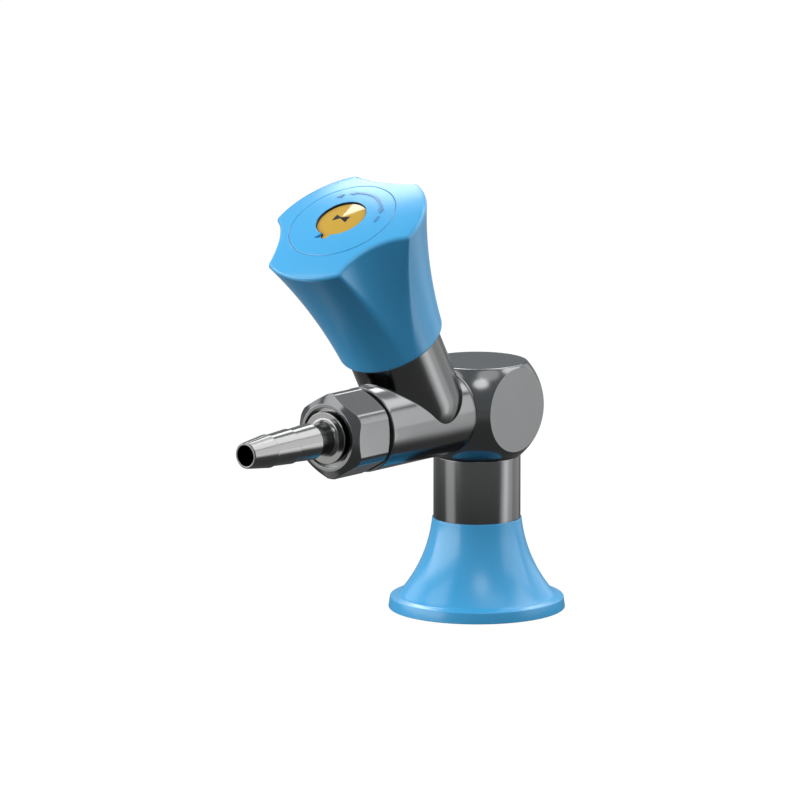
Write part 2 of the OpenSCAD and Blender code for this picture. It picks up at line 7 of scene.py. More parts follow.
import logging
import math
from abc import ABC, abstractmethod
from dataclasses import dataclass
from enum import Enum
from typing import Callable, ClassVar, Mapping, NamedTuple, Sequence

import bmesh
import bpy
from mathutils import Matrix, Vector


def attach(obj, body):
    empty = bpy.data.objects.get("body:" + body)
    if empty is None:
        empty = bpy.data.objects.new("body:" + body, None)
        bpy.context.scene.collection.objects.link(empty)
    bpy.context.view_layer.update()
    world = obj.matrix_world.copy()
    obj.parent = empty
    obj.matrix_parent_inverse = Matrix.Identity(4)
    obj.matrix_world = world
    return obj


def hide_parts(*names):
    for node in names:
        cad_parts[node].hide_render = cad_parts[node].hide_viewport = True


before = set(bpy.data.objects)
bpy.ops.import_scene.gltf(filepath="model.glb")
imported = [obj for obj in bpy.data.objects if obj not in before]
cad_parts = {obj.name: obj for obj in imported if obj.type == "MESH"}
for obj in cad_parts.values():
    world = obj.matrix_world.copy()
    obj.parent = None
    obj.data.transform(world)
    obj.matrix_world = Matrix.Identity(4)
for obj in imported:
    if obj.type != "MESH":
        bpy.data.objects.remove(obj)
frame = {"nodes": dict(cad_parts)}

log = logging.getLogger("tap")

MM = 0.001
MICRON = 1e-6
TURN = 2 * math.pi
SLIVER = 1e-4
WAY_STEPS = 96
Colour = tuple[float, float, float]
Mesh = bmesh.types.BMesh
Node = bpy.types.Node
Tree = bpy.types.NodeTree
Socket = bpy.types.NodeSocket


class Placement(Enum):
    """Frames that the pieces are drawn in: a shift and a tilt about the x axis.

    z runs along each piece's own axis: up the column, out along the arm, up the boss.
    """

    COLUMN = (0.0, 0.0, 0.0, 0.0)
    ARM = (0.0, 0.0, 63.7, 90.0)
    BOSS = (0.0, -26.4, 63.7, 30.0)

    @property
    def shift(self) -> Vector:
        """Place of the frame's origin in millimetres."""
        return Vector(self.value[:3])

    @property
    def tilt(self) -> float:
        """Tilt of the frame about the x axis in radians."""
        return math.radians(self.value[3])

    @property
    def matrix(self) -> Matrix:
        """Matrix from the piece's frame to the object's, both in millimetres."""
        return Matrix.Translation(self.shift) @ Matrix.Rotation(self.tilt, 4, "X")


class Body(Enum):
    """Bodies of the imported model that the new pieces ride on."""

    FIXED = "body"
    WHEEL = "handwheel"


class Slot(Enum):
    """Material slots of the record."""

    COATED = "coated_metal"
    BLUE = "blue_plastic"
    NICKEL = "nickel"
    STAINLESS = "stainless"
    BRASS = "brass"
    RUBBER = "seal_rubber"
    SEAL = "seal_plastic"
    AMBER = "amber_plastic"


class Combine(Enum):
    """Ways to combine two solids."""

    JOIN = "UNION"
    CUT = "DIFFERENCE"


# Outlines and meshes


class Corner(NamedTuple):
    """Corner of a half section: distance from the axis, place along it, rounding."""

    r: float
    z: float
    radius: float = 0.0


def smooth_min(a: float, b: float, reach: float) -> float:
    """Smaller of two distances, blended where they differ by less than the reach."""
    near = max(reach - abs(a - b), 0.0) / reach
    return min(a, b) - near * near * reach / 4


def rounded(corners: Sequence[Corner], closed: bool = False, steps: int = 6) -> list[Vector]:
    """Outline with an arc in place of each corner that has a radius.

    Args:
        corners: Corners in order.
        closed: Whether the last corner joins the first.
        steps: Steps in each arc.

    Returns:
        Points of distance from the axis and place along it.
    """
    points = []
    count = len(corners)
    for i, corner in enumerate(corners):
        here = Vector((corner.r, corner.z))
        if not corner.radius or not (closed or 0 < i < count - 1):
            points.append(here)
            continue
        back = (Vector(corners[i - 1][:2]) - here).normalized()
        ahead = (Vector(corners[(i + 1) % count][:2]) - here).normalized()
        half = back.angle(ahead) / 2
        centre = here + (back + ahead).normalized() * corner.radius / math.sin(half)
        reach = corner.radius / math.tan(half)
        start, end = here + back * reach - centre, here + ahead * reach - centre
        for k in range(steps + 1):
            spoke = start.lerp(end, k / steps).normalized()
            points.append(centre + spoke * corner.radius)
    return points


def hollow_arc(start: Vector, end: Vector, sag: float, steps: int) -> list[Vector]:
    """Points of an arc that bulges to the left of the way from start to end.

    Args:
        start: First point.
        end: Last point.
        sag: Greatest distance between the arc and its chord.
        steps: Steps in the arc.

    Returns:
        Points from start to end, both included.
    """
    centre, radius = arc_circle(start, end, sag)
    first, last = start - centre, end - centre
    sweep = first.angle(last)
    turn = math.atan2(first.y, first.x)
    angles = [turn - sweep * k / steps for k in range(steps + 1)]
    return [centre + radius * Vector((math.cos(a), math.sin(a))) for a in angles]


def arc_circle(start: Vector, end: Vector, sag: float) -> tuple[Vector, float]:
    """Circle that hollow_arc follows.

    Args:
        start: First point.
        end: Last point.
        sag: Greatest distance between the arc and its chord.

    Returns:
        Its centre and its radius.
    """
    half = (end - start).length / 2
    radius = (half * half + sag * sag) / (2 * sag)
    along = (end - start).normalized()
    left = Vector((-along.y, along.x))
    return (start + end) / 2 - left * (radius - sag), radius


def spaced(start: Corner, end: Corner, step: float, margin: int = 1) -> list[Corner]:
    """Corners along a straight side, for even shading.

    Args:
        start: First corner of the side.
        end: Last corner of the side.
        step: Wanted distance between the corners.
        margin: Steps that are left out at either end.

    Returns:
        The corners between the two.
    """
    count = max(round(math.dist(start[:2], end[:2]) / step), 1)
    return [Corner(start.r + (end.r - start.r) * k / count,
                   start.z + (end.z - start.z) * k / count)
            for k in range(margin, count - margin + 1)]


def groove(r: float, floor_r: float, middle: float, width: float) -> list[Corner]:
    """Corners of a sealing ring's groove in a side, upwards along z."""
    low, high = middle - width / 2, middle + width / 2
    return [Corner(r, low), Corner(floor_r, low), Corner(floor_r, high), Corner(r, high)]


def merged(bm: Mesh) -> Mesh:
    """Merges a mesh's doubled points and turns its faces outwards.

    Args:
        bm: The mesh, which is changed.

    Returns:
        The same mesh.
    """
    bmesh.ops.remove_doubles(bm, verts=bm.verts, dist=SLIVER)
    bmesh.ops.recalc_face_normals(bm, faces=bm.faces)
    return bm


def turned(outline: Sequence[Vector], closed: bool = True, steps: int = 256) -> Mesh:
    """Turns a half section round the z axis.

    Args:
        outline: Points of distance from the axis and place along it.
        closed: Whether the last point joins the first.
        steps: Steps round the axis.

    Returns:
        The turned skin, closed and facing outwards.
    """
    bm = bmesh.new()
    verts = [bm.verts.new((r, 0.0, z)) for r, z in outline]
    ahead = verts[1:] + (verts[:1] if closed else [])
    edges = [bm.edges.new(pair) for pair in zip(verts, ahead)]
    bmesh.ops.spin(bm, geom=verts + edges, cent=(0, 0, 0), axis=(0, 0, 1), angle=TURN,
                   steps=steps, use_merge=True, use_duplicate=False)
    return merged(bm)


def lofted(profiles: Sequence[Sequence[Vector]], closed: bool) -> Mesh:
    """Skin through profiles that stand round an axis: a grid bent into place.

    Args:
        profiles: Points of each profile, equally many, in order round the axis.
        closed: Whether each profile's last point joins its first.

    Returns:
        The skin, closed round the axis and facing outwards.
    """
    columns, count = len(profiles), len(profiles[0])
    rows = count if closed else count - 1
    bm = bmesh.new()
    bmesh.ops.create_grid(bm, x_segments=columns, y_segments=rows, size=0.5)
    for vert in bm.verts:
        column = round((vert.co.x + 0.5) * columns) % columns
        row = round((vert.co.y + 0.5) * rows) % count
        vert.co = profiles[column][row]
    return merged(bm)


def linked(name: str, data: bpy.types.ID) -> bpy.types.Object:
    """New object in the scene.

    Args:
        name: Its name.
        data: Its mesh, lamp or camera.

    Returns:
        The object.
    """
    thing = bpy.data.objects.new(name, data)
    bpy.context.scene.collection.objects.link(thing)
    return thing


def combined(base: Mesh, tool: Mesh, way: Combine) -> Mesh:
    """Joins a solid to another, or cuts it with the other.

    Args:
        base: The solid that is changed.
        tool: The solid that is added or taken away.
        way: Whether to join or to cut.

    Returns:
        The new solid; the two given ones are used up.
    """
    holders = []
    for part in (base, tool):
        mesh = bpy.data.meshes.new("work")
        part.to_mesh(mesh)
        part.free()
        holders.append(linked("work", mesh))
    change = holders[0].modifiers.new("work", "BOOLEAN")
    change.object = holders[1]
    change.operation = way.value
    change.solver = "EXACT"
    seen = holders[0].evaluated_get(bpy.context.evaluated_depsgraph_get())
    result = bmesh.new()
    result.from_mesh(seen.to_mesh())
    seen.to_mesh_clear()
    # Slivers that the cut leaves would open the next one
    bmesh.ops.dissolve_degenerate(result, edges=result.edges, dist=SLIVER)
    for holder in holders:
        mesh = holder.data
        bpy.data.objects.remove(holder)
        bpy.data.meshes.remove(mesh)
    return result


def gathered(parts: Sequence[Mesh]) -> Mesh:
    """Puts several meshes into one as they are.

    Args:
        parts: The meshes, which are used up.

    Returns:
        The mesh that holds them all.
    """
    bm = bmesh.new()
    for part in parts:
        work = bpy.data.meshes.new("work")
        part.to_mesh(work)
        part.free()
        bm.from_mesh(work)
        bpy.data.meshes.remove(work)
    return bm


def raised(bm: Mesh, height: float) -> Mesh:
    """Makes a sheet a solid by raising a copy of it.

    Args:
        bm: The sheet, which is changed.
        height: Height of the solid.

    Returns:
        The closed solid.
    """
    top = bmesh.ops.extrude_face_region(bm, geom=bm.faces)["geom"]
    bmesh.ops.translate(bm, vec=(0, 0, height),
                        verts=[v for v in top if isinstance(v, bmesh.types.BMVert)])
    return merged(bm)


def moved(bm: Mesh, matrix: Matrix) -> Mesh:
    """Moves a whole mesh by a matrix."""
    bmesh.ops.transform(bm, matrix=matrix, verts=bm.verts)
    return bm


def polar(r: float, angle: float, z: float) -> Vector:
    """Point at a distance and an angle from the z axis, at a height."""
    return Vector((r * math.cos(angle), r * math.sin(angle), z))


# Shader nodes


class Nodes:
    """Places shader nodes in a tree and joins them."""

    def __init__(self, tree: Tree) -> None:
        """Keeps the tree."""
        self.tree = tree

    def place(self, kind: str, inputs: Mapping | None = None, **settings: object) -> Node:
        """Adds a node.

        Args:
            kind: The node's type without its common first part.
            inputs: Values of its inputs, or outputs of other nodes to join to them.
            **settings: Other properties of the node.

        Returns:
            The new node.
        """
        node = self.tree.nodes.new("ShaderNode" + kind)
        for name, value in settings.items():
            setattr(node, name, value)
        self.join(node, inputs or {})
        return node

    def join(self, node: Node, inputs: Mapping) -> None:
        """Sets a node's inputs to values, or joins other nodes' outputs to them.

        Args:
            node: The node.
            inputs: Values or outputs by the inputs' names.
        """
        for name, value in inputs.items():
            if isinstance(value, Socket):
                self.tree.links.new(value, node.inputs[name])
            else:
                node.inputs[name].default_value = value

    def math(self, operation: str, *values: object) -> Socket:
        """Result of a Math node."""
        inputs = dict(enumerate(values))
        return self.place("Math", inputs, operation=operation).outputs[0]

    def vector(self, operation: str, *values: object, result: str = "Value") -> Socket:
        """Result of a Vector Math node, a value or a vector."""
        inputs = dict(enumerate(values))
        return self.place("VectorMath", inputs, operation=operation).outputs[result]

    def relief(self, height: Socket, depth: float) -> Socket:
        """Normal of a relief whose depth is in micrometres."""
        inputs = {"Height": height, "Strength": 1.0, "Distance": depth * MICRON}
        return self.place("Bump", inputs).outputs[0]

    def spread(self, mask: Socket, low: float, high: float) -> Socket:
        """Value that goes from low to high as a mask goes from 0 to 1."""
        inputs = {"Value": mask, "To Min": low, "To Max": high}
        return self.place("MapRange", inputs).outputs[0]

    def eased(self, value: Socket, start: float, end: float) -> Socket:
        """Share from 0 to 1 that eases in and out as a value goes from start to end."""
        inputs = {"Value": value, "From Min": start, "From Max": end}
        return self.place("MapRange", inputs, interpolation_type="SMOOTHSTEP").outputs[0]

    def tint(self, mask: Socket, dark: Colour, light: Colour) -> Socket:
        """Colour that goes from dark to light as a mask goes from 0 to 1."""
        inputs = {0: mask, 6: (*dark, 1), 7: (*light, 1)}
        return self.place("Mix", inputs, data_type="RGBA").outputs[2]

    def object_point(self) -> Socket:
        """Place on the object in metres."""
        return self.place("TexCoord").outputs["Object"]

    def own_point(self, placement: Placement) -> Socket:
        """Place in a piece's own frame in millimetres.

        Args:
            placement: The piece's frame.

        Returns:
            The place, with z along the piece's axis.
        """
        inputs = {"Vector": self.object_point(), "Location": placement.shift * MM,
                  "Rotation": (placement.tilt, 0, 0), "Scale": (MM, MM, MM)}
        return self.place("Mapping", inputs, vector_type="TEXTURE").outputs[0]


def group(name: str, inputs: Mapping[str, float | None], outputs: Sequence[str],
          fill: Callable[[Nodes, Node], Sequence[Socket]]) -> Tree:
    """Shared node group, built at its first use.

    Args:
        name: Name of the group.
        inputs: Names of its inputs, with a number for a value and None for a vector.
        outputs: Names of its outputs, all values.
        fill: Places the group's nodes and gives back what goes to the outputs.

    Returns:
        The group's tree.
    """
    known = bpy.data.node_groups.get(name)
    if known:
        return known
    tree = bpy.data.node_groups.new(name, "ShaderNodeTree")
    for label, value in inputs.items():
        kind = "NodeSocketVector" if value is None else "NodeSocketFloat"
        socket = tree.interface.new_socket(name=label, in_out="INPUT", socket_type=kind)
        if value is not None:
            socket.default_value = value
    for label in outputs:
        tree.interface.new_socket(name=label, in_out="OUTPUT", socket_type="NodeSocketFloat")
    nodes = Nodes(tree)
    start = tree.nodes.new("NodeGroupInput")
    end = tree.nodes.new("NodeGroupOutput")
    for label, value in zip(outputs, fill(nodes, start)):
        nodes.join(end, {label: value})
    return tree


def fill_grain(nodes: Nodes, start: Node) -> list[Socket]:
    """Fine even grain.

    Args:
        nodes: The group's nodes.
        start: Its inputs: a point in metres and a cell in millimetres.

    Returns:
        A height, and flecks that are finer than the grain.
    """
    finer = 2.5
    point = start.outputs["Vector"]
    scale = nodes.math("DIVIDE", 1 / MM, start.outputs["Cell"])
    grain = nodes.place("TexNoise", {"Vector": point, "Scale": scale, "Detail": 2.0,
                                     "Roughness": 0.45})
    fine = nodes.math("MULTIPLY", scale, finer)
    fleck = nodes.place("TexNoise", {"Vector": point, "Scale": fine, "Detail": 1.0,
                                     "Roughness": 0.6})
    return [grain.outputs[0], fleck.outputs[0]]


def fill_patches(nodes: Nodes, start: Node) -> list[Socket]:
    """Broad soft patches, as handling and the mould leave them.

    Args:
        nodes: The group's nodes.
        start: Its inputs: a point in metres and a cell in millimetres.

    Returns:
        A mask.
    """
    dark, light = 0.2, 0.8
    scale = nodes.math("DIVIDE", 1 / MM, start.outputs["Cell"])
    broad = nodes.place("TexNoise", {"Vector": start.outputs["Vector"], "Scale": scale,
                                     "Detail": 1.0, "Roughness": 0.4})
    return [nodes.eased(broad.outputs[0], dark, light)]


def fill_lines(nodes: Nodes, start: Node) -> list[Socket]:
    """Fine uneven rings round the z axis, as a lathe leaves them on sides and ends.

    Args:
        nodes: The group's nodes.
        start: Its inputs: a point and the rings' pitch in millimetres.

    Returns:
        The rings' height.
    """
    parts = nodes.place("SeparateXYZ", {0: start.outputs["Vector"]}).outputs
    across = nodes.math("SQRT", nodes.math("ADD", nodes.math("MULTIPLY", parts[0], parts[0]),
                                           nodes.math("MULTIPLY", parts[1], parts[1])))
    way = nodes.math("DIVIDE", nodes.math("ADD", across, parts[2]), start.outputs["Pitch"])
    rings = nodes.place("TexNoise", {"W": way, "Scale": 1.0, "Detail": 2.0, "Roughness": 0.7},
                        noise_dimensions="1D")
    return [rings.outputs[0]]


def grain_group() -> Tree:
    """Group of the fine grain."""
    return group("surface_grain", {"Vector": None, "Cell": 1.0}, ["Height", "Fleck"], fill_grain)


def patches_group() -> Tree:
    """Group of the broad patches."""
    return group("soft_patches", {"Vector": None, "Cell": 20.0}, ["Mask"], fill_patches)


def lines_group() -> Tree:
    """Group of the lathe's rings."""
    return group("turned_lines", {"Vector": None, "Pitch": 0.2}, ["Lines"], fill_lines)


def scaled(colour: Colour, factor: float) -> Colour:
    """Colour made darker or lighter by a factor."""
    return tuple(min(part * factor, 1.0) for part in colour)


# Finishes


@dataclass(frozen=True)
class Finish(ABC):
    """What all finishes have: a name, the record's slot, a colour and a gloss."""

    name: str
    slot: Slot
    colour: Colour
    roughness: float

    gloss_drift: ClassVar[float] = 0.07
    fleck_share: ClassVar[float] = 0.5

    def material(self) -> bpy.types.Material:
        """Material of this finish, built at its first use."""
        return bpy.data.materials.get(self.name) or self.build()

    def build(self) -> bpy.types.Material:
        """Builds the material."""
        material = bpy.data.materials.new(self.name)
        material.use_nodes = True
        material.diffuse_color = (*self.colour, 1)
        self.dress(Nodes(material.node_tree), material.node_tree.nodes["Principled BSDF"])
        return material

    @abstractmethod
    def dress(self, nodes: Nodes, shader: Node) -> None:
        """Joins the finish's colour, gloss and relief to the shader."""

    def cover(self, nodes: Nodes, shader: Node, drift: float, cell: float, depth: float,
              patch: float) -> None:
        """Gives the shader a colour and a gloss that drift, and a fine relief.

        Args:
            nodes: The material's nodes.
            shader: The shader to dress.
            drift: Share by which the colour drifts each way.
            cell: Size of the grain in millimetres.
            depth: Depth of the grain in micrometres.
            patch: Size of the broad patches in millimetres.
        """
        point = nodes.object_point()
        grain = nodes.place("Group", node_tree=grain_group())
        nodes.join(grain, {"Vector": point, "Cell": cell})
        broad = nodes.place("Group", node_tree=patches_group())
        nodes.join(broad, {"Vector": point, "Cell": patch})
        patches = broad.outputs["Mask"]
        mask = nodes.math("ADD",
                          nodes.math("MULTIPLY", grain.outputs["Fleck"], self.fleck_share),
                          nodes.math("MULTIPLY", patches, 1 - self.fleck_share))
        tint = nodes.tint(mask, scaled(self.colour, 1 - drift), scaled(self.colour, 1 + drift))
        gloss = nodes.spread(patches, self.roughness * (1 - self.gloss_drift),
                             self.roughness * (1 + self.gloss_drift))
        nodes.join(shader, {"Base Color": tint, "Roughness": gloss,
                            "Normal": nodes.relief(grain.outputs["Height"], depth)})


@dataclass(frozen=True)
class MouldedPlastic(Finish):
    """Moulded plastic: glossy or matt, with a faint grain from the mould."""

    drift: float = 0.015
    cell: float = 0.4
    depth: float = 0.8
    patch: float = 18.0
    shine: float = 0.5

    def dress(self, nodes: Nodes, shader: Node) -> None:
        """Joins the plastic's colour, gloss and relief to the shader."""
        shader.inputs["Specular IOR Level"].default_value = self.shine
        self.cover(nodes, shader, self.drift, self.cell, self.depth, self.patch)


@dataclass(frozen=True)
class CoatedMetal(Finish):
    """Dark coat on turned brass: satin, with fine flecks and a faint unevenness."""

    drift: float = 0.05
    cell: float = 0.9
    depth: float = 5.0
    patch: float = 14.0

    def dress(self, nodes: Nodes, shader: Node) -> None:
        """Joins the coat's colour, gloss and relief to the shader."""
        shader.inputs["Metallic"].default_value = 1.0
        self.cover(nodes, shader, self.drift, self.cell, self.depth, self.patch)


@dataclass(frozen=True)
class TurnedMetal(Finish):
    """Bare or plated metal with a lathe's fine rings."""

    placement: Placement = Placement.BOSS
    pitch: float = 0.22
    depth: float = 1.0
    patch: float = 10.0

    ring_share: ClassVar[float] = 0.3
    patch_share: ClassVar[float] = 0.6
    tint_range: ClassVar[tuple[float, float]] = (0.95, 1.04)
    gloss_range: ClassVar[tuple[float, float]] = (0.9, 1.12)

    def dress(self, nodes: Nodes, shader: Node) -> None:
        """Joins the metal's colour, gloss and rings to the shader.

        Args:
            nodes: The material's nodes.
            shader: The shader to dress.
        """
        shader.inputs["Metallic"].default_value = 1.0
        lines = nodes.place("Group", node_tree=lines_group())
        nodes.join(lines, {"Vector": nodes.own_point(self.placement), "Pitch": self.pitch})
        broad = nodes.place("Group", node_tree=patches_group())
        nodes.join(broad, {"Vector": nodes.object_point(), "Cell": self.patch})
        rings = lines.outputs["Lines"]
        patches = nodes.math("MULTIPLY", broad.outputs["Mask"], self.patch_share)
        mask = nodes.math("MULTIPLY_ADD", rings, self.ring_share, patches)
        tint = nodes.tint(mask, *(scaled(self.colour, part) for part in self.tint_range))
        gloss = nodes.spread(mask, *(self.roughness * part for part in self.gloss_range))
        nodes.join(shader, {"Base Color": tint, "Roughness": gloss,
                            "Normal": nodes.relief(rings, self.depth)})


@dataclass(frozen=True)
class ClearPlastic(MouldedPlastic):
    """Coloured plastic under a clear glossy face."""

    coat_roughness: float = 0.04

    def dress(self, nodes: Nodes, shader: Node) -> None:
        """Joins the plastic's colour, gloss and relief to the shader, and coats it.

        Args:
            nodes: The material's nodes.
            shader: The shader to dress.
        """
        shader.inputs["Coat Weight"].default_value = 1.0
        shader.inputs["Coat Roughness"].default_value = self.coat_roughness
        super().dress(nodes, shader)


BLUE = MouldedPlastic("blue_moulding", Slot.BLUE, (0.055, 0.377, 0.715), 0.24)
COAT = CoatedMetal("dark_coat", Slot.COATED, (0.155, 0.157, 0.159), 0.17)
NICKEL = TurnedMetal("dark_nickel", Slot.NICKEL, (0.2, 0.2, 0.197), 0.16, Placement.ARM)
STAINLESS = TurnedMetal("turned_stainless", Slot.STAINLESS, (0.56, 0.55, 0.54), 0.26)
BRASS = TurnedMetal("turned_brass", Slot.BRASS, (0.70, 0.47, 0.17), 0.25)
RUBBER = MouldedPlastic("black_rubber", Slot.RUBBER, (0.016, 0.016, 0.017), 0.62, 0.12, 0.5, 12.0)
SEAL = MouldedPlastic("white_seal", Slot.SEAL, (0.72, 0.71, 0.67), 0.42, 0.03, 0.8, 6.0)
AMBER = ClearPlastic("amber_face", Slot.AMBER, (0.54, 0.325, 0.035), 0.35, 0.03, 1.1, 1.0,
                     shine=0.0)
# Black ink: the printed sign on the disc, and painted shade on the recess's wall round the disc
INK_AND_SHADE = MouldedPlastic("black_ink_and_shade", Slot.AMBER, (0.006, 0.006, 0.007), 0.45, 0.15, 0.4, 3.0,
                     shine=0.15)
# Darker blue of the raised marks is painted shade; the marks are moulded in the cap's own blue
MARK_PAINTED_SHADE = MouldedPlastic("mark_blue_painted_shade", Slot.BLUE, (0.03, 0.22, 0.45), 0.3)

# Metal mirrors the studio and the cover, but neither these pieces nor the inner parts
UNMIRRORED = {"handwheel_grip", "cap_shell", "disc_face", "disc_sign", "recess_painted_shade",
              "turning_marks", "valve_casting"}
INNER_FINISHES = {
    "column_o_ring": RUBBER, "cover_o_ring": RUBBER, "base_gasket": RUBBER,
    "arm_o_ring": RUBBER, "bonnet_o_ring": RUBBER, "nozzle_gasket": RUBBER,
    "spindle_o_rings": RUBBER, "seat_ring": BRASS, "bonnet": BRASS, "valve_cone": BRASS,
    "throttle_plug": BRASS, "hub_insert": BRASS, "spindle": STAINLESS,
    "cone_clip": STAINLESS, "handwheel_screw": STAINLESS, "screw_washer": STAINLESS,
    "guide_bush": SEAL, "cone_seal": SEAL,
}


# Sub-assemblies


class SubAssembly(ABC):
    """Group of pieces that one class builds and dresses."""

    placement: Placement = Placement.COLUMN
    body: Body = Body.FIXED

    @abstractmethod
    def build(self) -> None:
        """Builds the group's pieces."""

    def add(self, name: str, bm: Mesh, finish: Finish, stands_for: str = "",
            sharp: float = 32.0, even: bool = False) -> bpy.types.Object:
        """Makes a mesh a piece of the object.

        Args:
            name: Name of the piece.
            bm: Its mesh in millimetres in the group's frame, which is used up.
            finish: Its finish.
            stands_for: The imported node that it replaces, or nothing.
            sharp: Angle in degrees from which an edge shows.
            even: Whether flat faces keep their own shading beside narrow edges.

        Returns:
            The new piece.
        """
        moved(bm, Matrix.Scale(MM, 4) @ self.placement.matrix)
        mesh = bpy.data.meshes.new(name)
        bm.to_mesh(mesh)
        bm.free()
        mesh.shade_smooth()
        mesh.set_sharp_from_angle(angle=math.radians(sharp))
        mesh.materials.append(finish.material())
        piece = linked(name, mesh)
        if even:
            piece.modifiers.new("even shading", "WEIGHTED_NORMAL").keep_sharp = True
        if stands_for:
            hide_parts(stands_for)
        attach(piece, self.body.value)
        piece.visible_glossy = name not in UNMIRRORED
        log.info("%s: %d faces, %s, on %s", name, len(mesh.polygons), finish.name, self.body.value)
        return piece


@dataclass
class BaseCover(SubAssembly):
    """Flared cover that stands on the bench round the column's foot."""

    rim_r: float = 27.4
    rim_foot: float = 0.2
    rim_top: Corner = Corner(26.9, 3.5, 0.45)
    toe: Corner = Corner(24.4, 4.0, 2.0)
    lip: Corner = Corner(13.85, 28.4, 0.12)
    flare: float = 2.1
    wall: float = 2.2
    bore_r: float = 13.55
    bore_edge: float = 0.08
    grip_z: float = 12.8
    ring_r: float = 14.95
    ring_z: float = 14.62
    ring_h: float = 1.82
    hollow_r: float = 22.2
    gasket_r: tuple[float, float] = (23.4, 25.45)
    gasket_h: float = 1.2
    steps: int = 30
    hollow_steps: int = 12

    def hollow(self) -> list[Corner]:
        """The inside of the skirt from the column down to the bench."""
        centre, radius = arc_circle(Vector(self.toe[:2]), Vector(self.lip[:2]), self.flare)
        inside = radius + self.wall
        top = Vector((centre.x - math.sqrt(inside ** 2 - (self.grip_z - centre.y) ** 2),
                      self.grip_z))
        foot = Vector((self.hollow_r,
                       centre.y - math.sqrt(inside ** 2 - (self.hollow_r - centre.x) ** 2)))
        sag = inside - math.sqrt(inside ** 2 - ((top - foot).length / 2) ** 2)
        way = hollow_arc(foot, top, sag, self.hollow_steps)
        return [Corner(*point) for point in reversed(way)]

    def build(self) -> None:
        """Turns the cover from its half section."""
        way = hollow_arc(Vector(self.toe[:2]), Vector(self.lip[:2]), self.flare, self.steps)
        near, far = self.gasket_r
        section = [Corner(self.rim_r, 0, self.rim_foot), self.rim_top, self.toe,
                   *(Corner(*point) for point in way[1:-1]), self.lip,
                   Corner(self.bore_r, self.lip.z, self.bore_edge),
                   *reversed(groove(self.bore_r, self.ring_r, self.ring_z, self.ring_h)),
                   Corner(self.bore_r, self.grip_z), *self.hollow(),
                   Corner(self.hollow_r, 0), Corner(near, 0), Corner(near, self.gasket_h),
                   Corner(far, self.gasket_h), Corner(far, 0)]
        self.add("cover_shell", turned(rounded(section, closed=True)), BLUE, "cover")


@dataclass
class Column(SubAssembly):
    """Column from the bench up to the head block."""

    r: float = 13.5
    top: float = 48.12
    edge: float = 0.25
    way_r: float = 5.0
    inlet_r: float = 7.475
    inlet_len: float = 14.0
    spigot_r: float = 8.0
    spigot_len: float = 6.5
    groove_r: float = 6.6
    groove_w: float = 1.82

    def build(self) -> None:
        """Turns the column from its half section."""
        end = self.top + self.spigot_len
        section = [Corner(self.inlet_r, 0), Corner(self.r, 0, self.edge),
                   Corner(self.r, self.top, self.edge), Corner(self.spigot_r, self.top),
                   *groove(self.spigot_r, self.groove_r, self.top + self.spigot_len / 2,
                           self.groove_w),
                   Corner(self.spigot_r, end), Corner(self.way_r, end),
                   Corner(self.way_r, self.inlet_len), Corner(self.inlet_r, self.inlet_len)]
        self.add("column_turned", turned(rounded(section, closed=True)), COAT, "column")


@dataclass
class HeadBlock(SubAssembly):
    """Ball with flat faces that turns the way from the column into the arm."""

    centre_z: float = 63.7
    ball_r: float = 20.616
    half: float = 16.0
    face_r: float = 13.0
    top: float = 13.75
    foot: float = 15.58
    edge: float = 0.3
    blend: float = 0.5
    least_share: float = 0.05
    columns: int = 540
    rows: int = 150
    edge_steps: int = 4
    spigot_r: float = 8.05
    spigot_len: float = 6.5
    way_r: float = 3.2
    past: float = 4.0

    def ball_profile(self) -> list[Vector]:
        """Half section of the ball between its two side faces, as points of r and x."""
        reach = math.asin(self.half / self.ball_r)
        angles = [reach * (1 - 2 * k / self.rows) for k in range(1, self.rows)]
        arc = [Corner(self.ball_r * math.cos(a), self.ball_r * math.sin(a)) for a in angles]
        section = [Corner(0, self.half), Corner(self.face_r, self.half, self.edge / 2), *arc,
                   Corner(self.face_r, -self.half, self.edge / 2), Corner(0, -self.half)]
        return rounded(section, steps=self.edge_steps)

    def trimmed(self, r: float, angle: float) -> float:
        """Distance from the x axis once the front, back, top and foot are cut flat.

        Args:
            r: Distance before the cuts.
            angle: Direction round the x axis, from the back upwards.

        Returns:
            The distance after them.
        """
        across, up = math.cos(angle), math.sin(angle)
        if abs(across) > self.least_share:
            r = smooth_min(r, self.half / abs(across), self.blend)
        if abs(up) > self.least_share:
            r = smooth_min(r, (self.top if up > 0 else self.foot) / abs(up), self.blend)
        return r

    def skin(self) -> Mesh:
        """Outside of the block."""
        section = self.ball_profile()
        profiles = []
        for angle in (TURN * i / self.columns for i in range(self.columns)):
            cut = [(x, self.trimmed(r, angle)) for r, x in section]
            profiles.append([
                Vector((x, r * math.cos(angle), self.centre_z + r * math.sin(angle)))
                for x, r in cut])
        return lofted(profiles, closed=False)

    def ways(self) -> Mesh:
        """Cutter of one socket with its air way, along z from the block's centre."""
        deep, end = self.half - self.spigot_len, self.half + self.past
        section = [Corner(0, 0), Corner(self.way_r, 0), Corner(self.way_r, deep),
                   Corner(self.spigot_r, deep), Corner(self.spigot_r, end), Corner(0, end)]
        return turned(rounded(section), closed=False, steps=WAY_STEPS)

    def build(self) -> None:
        """Builds the block and cuts its two sockets, downwards and out to the arm."""
        block = self.skin()
        for tilt in (math.pi, math.pi / 2):
            way = Matrix.Translation((0, 0, self.centre_z)) @ Matrix.Rotation(tilt, 4, "X")
            block = combined(block, moved(self.ways(), way), Combine.CUT)
        self.add("block_casting", block, COAT, "head_block", even=True)


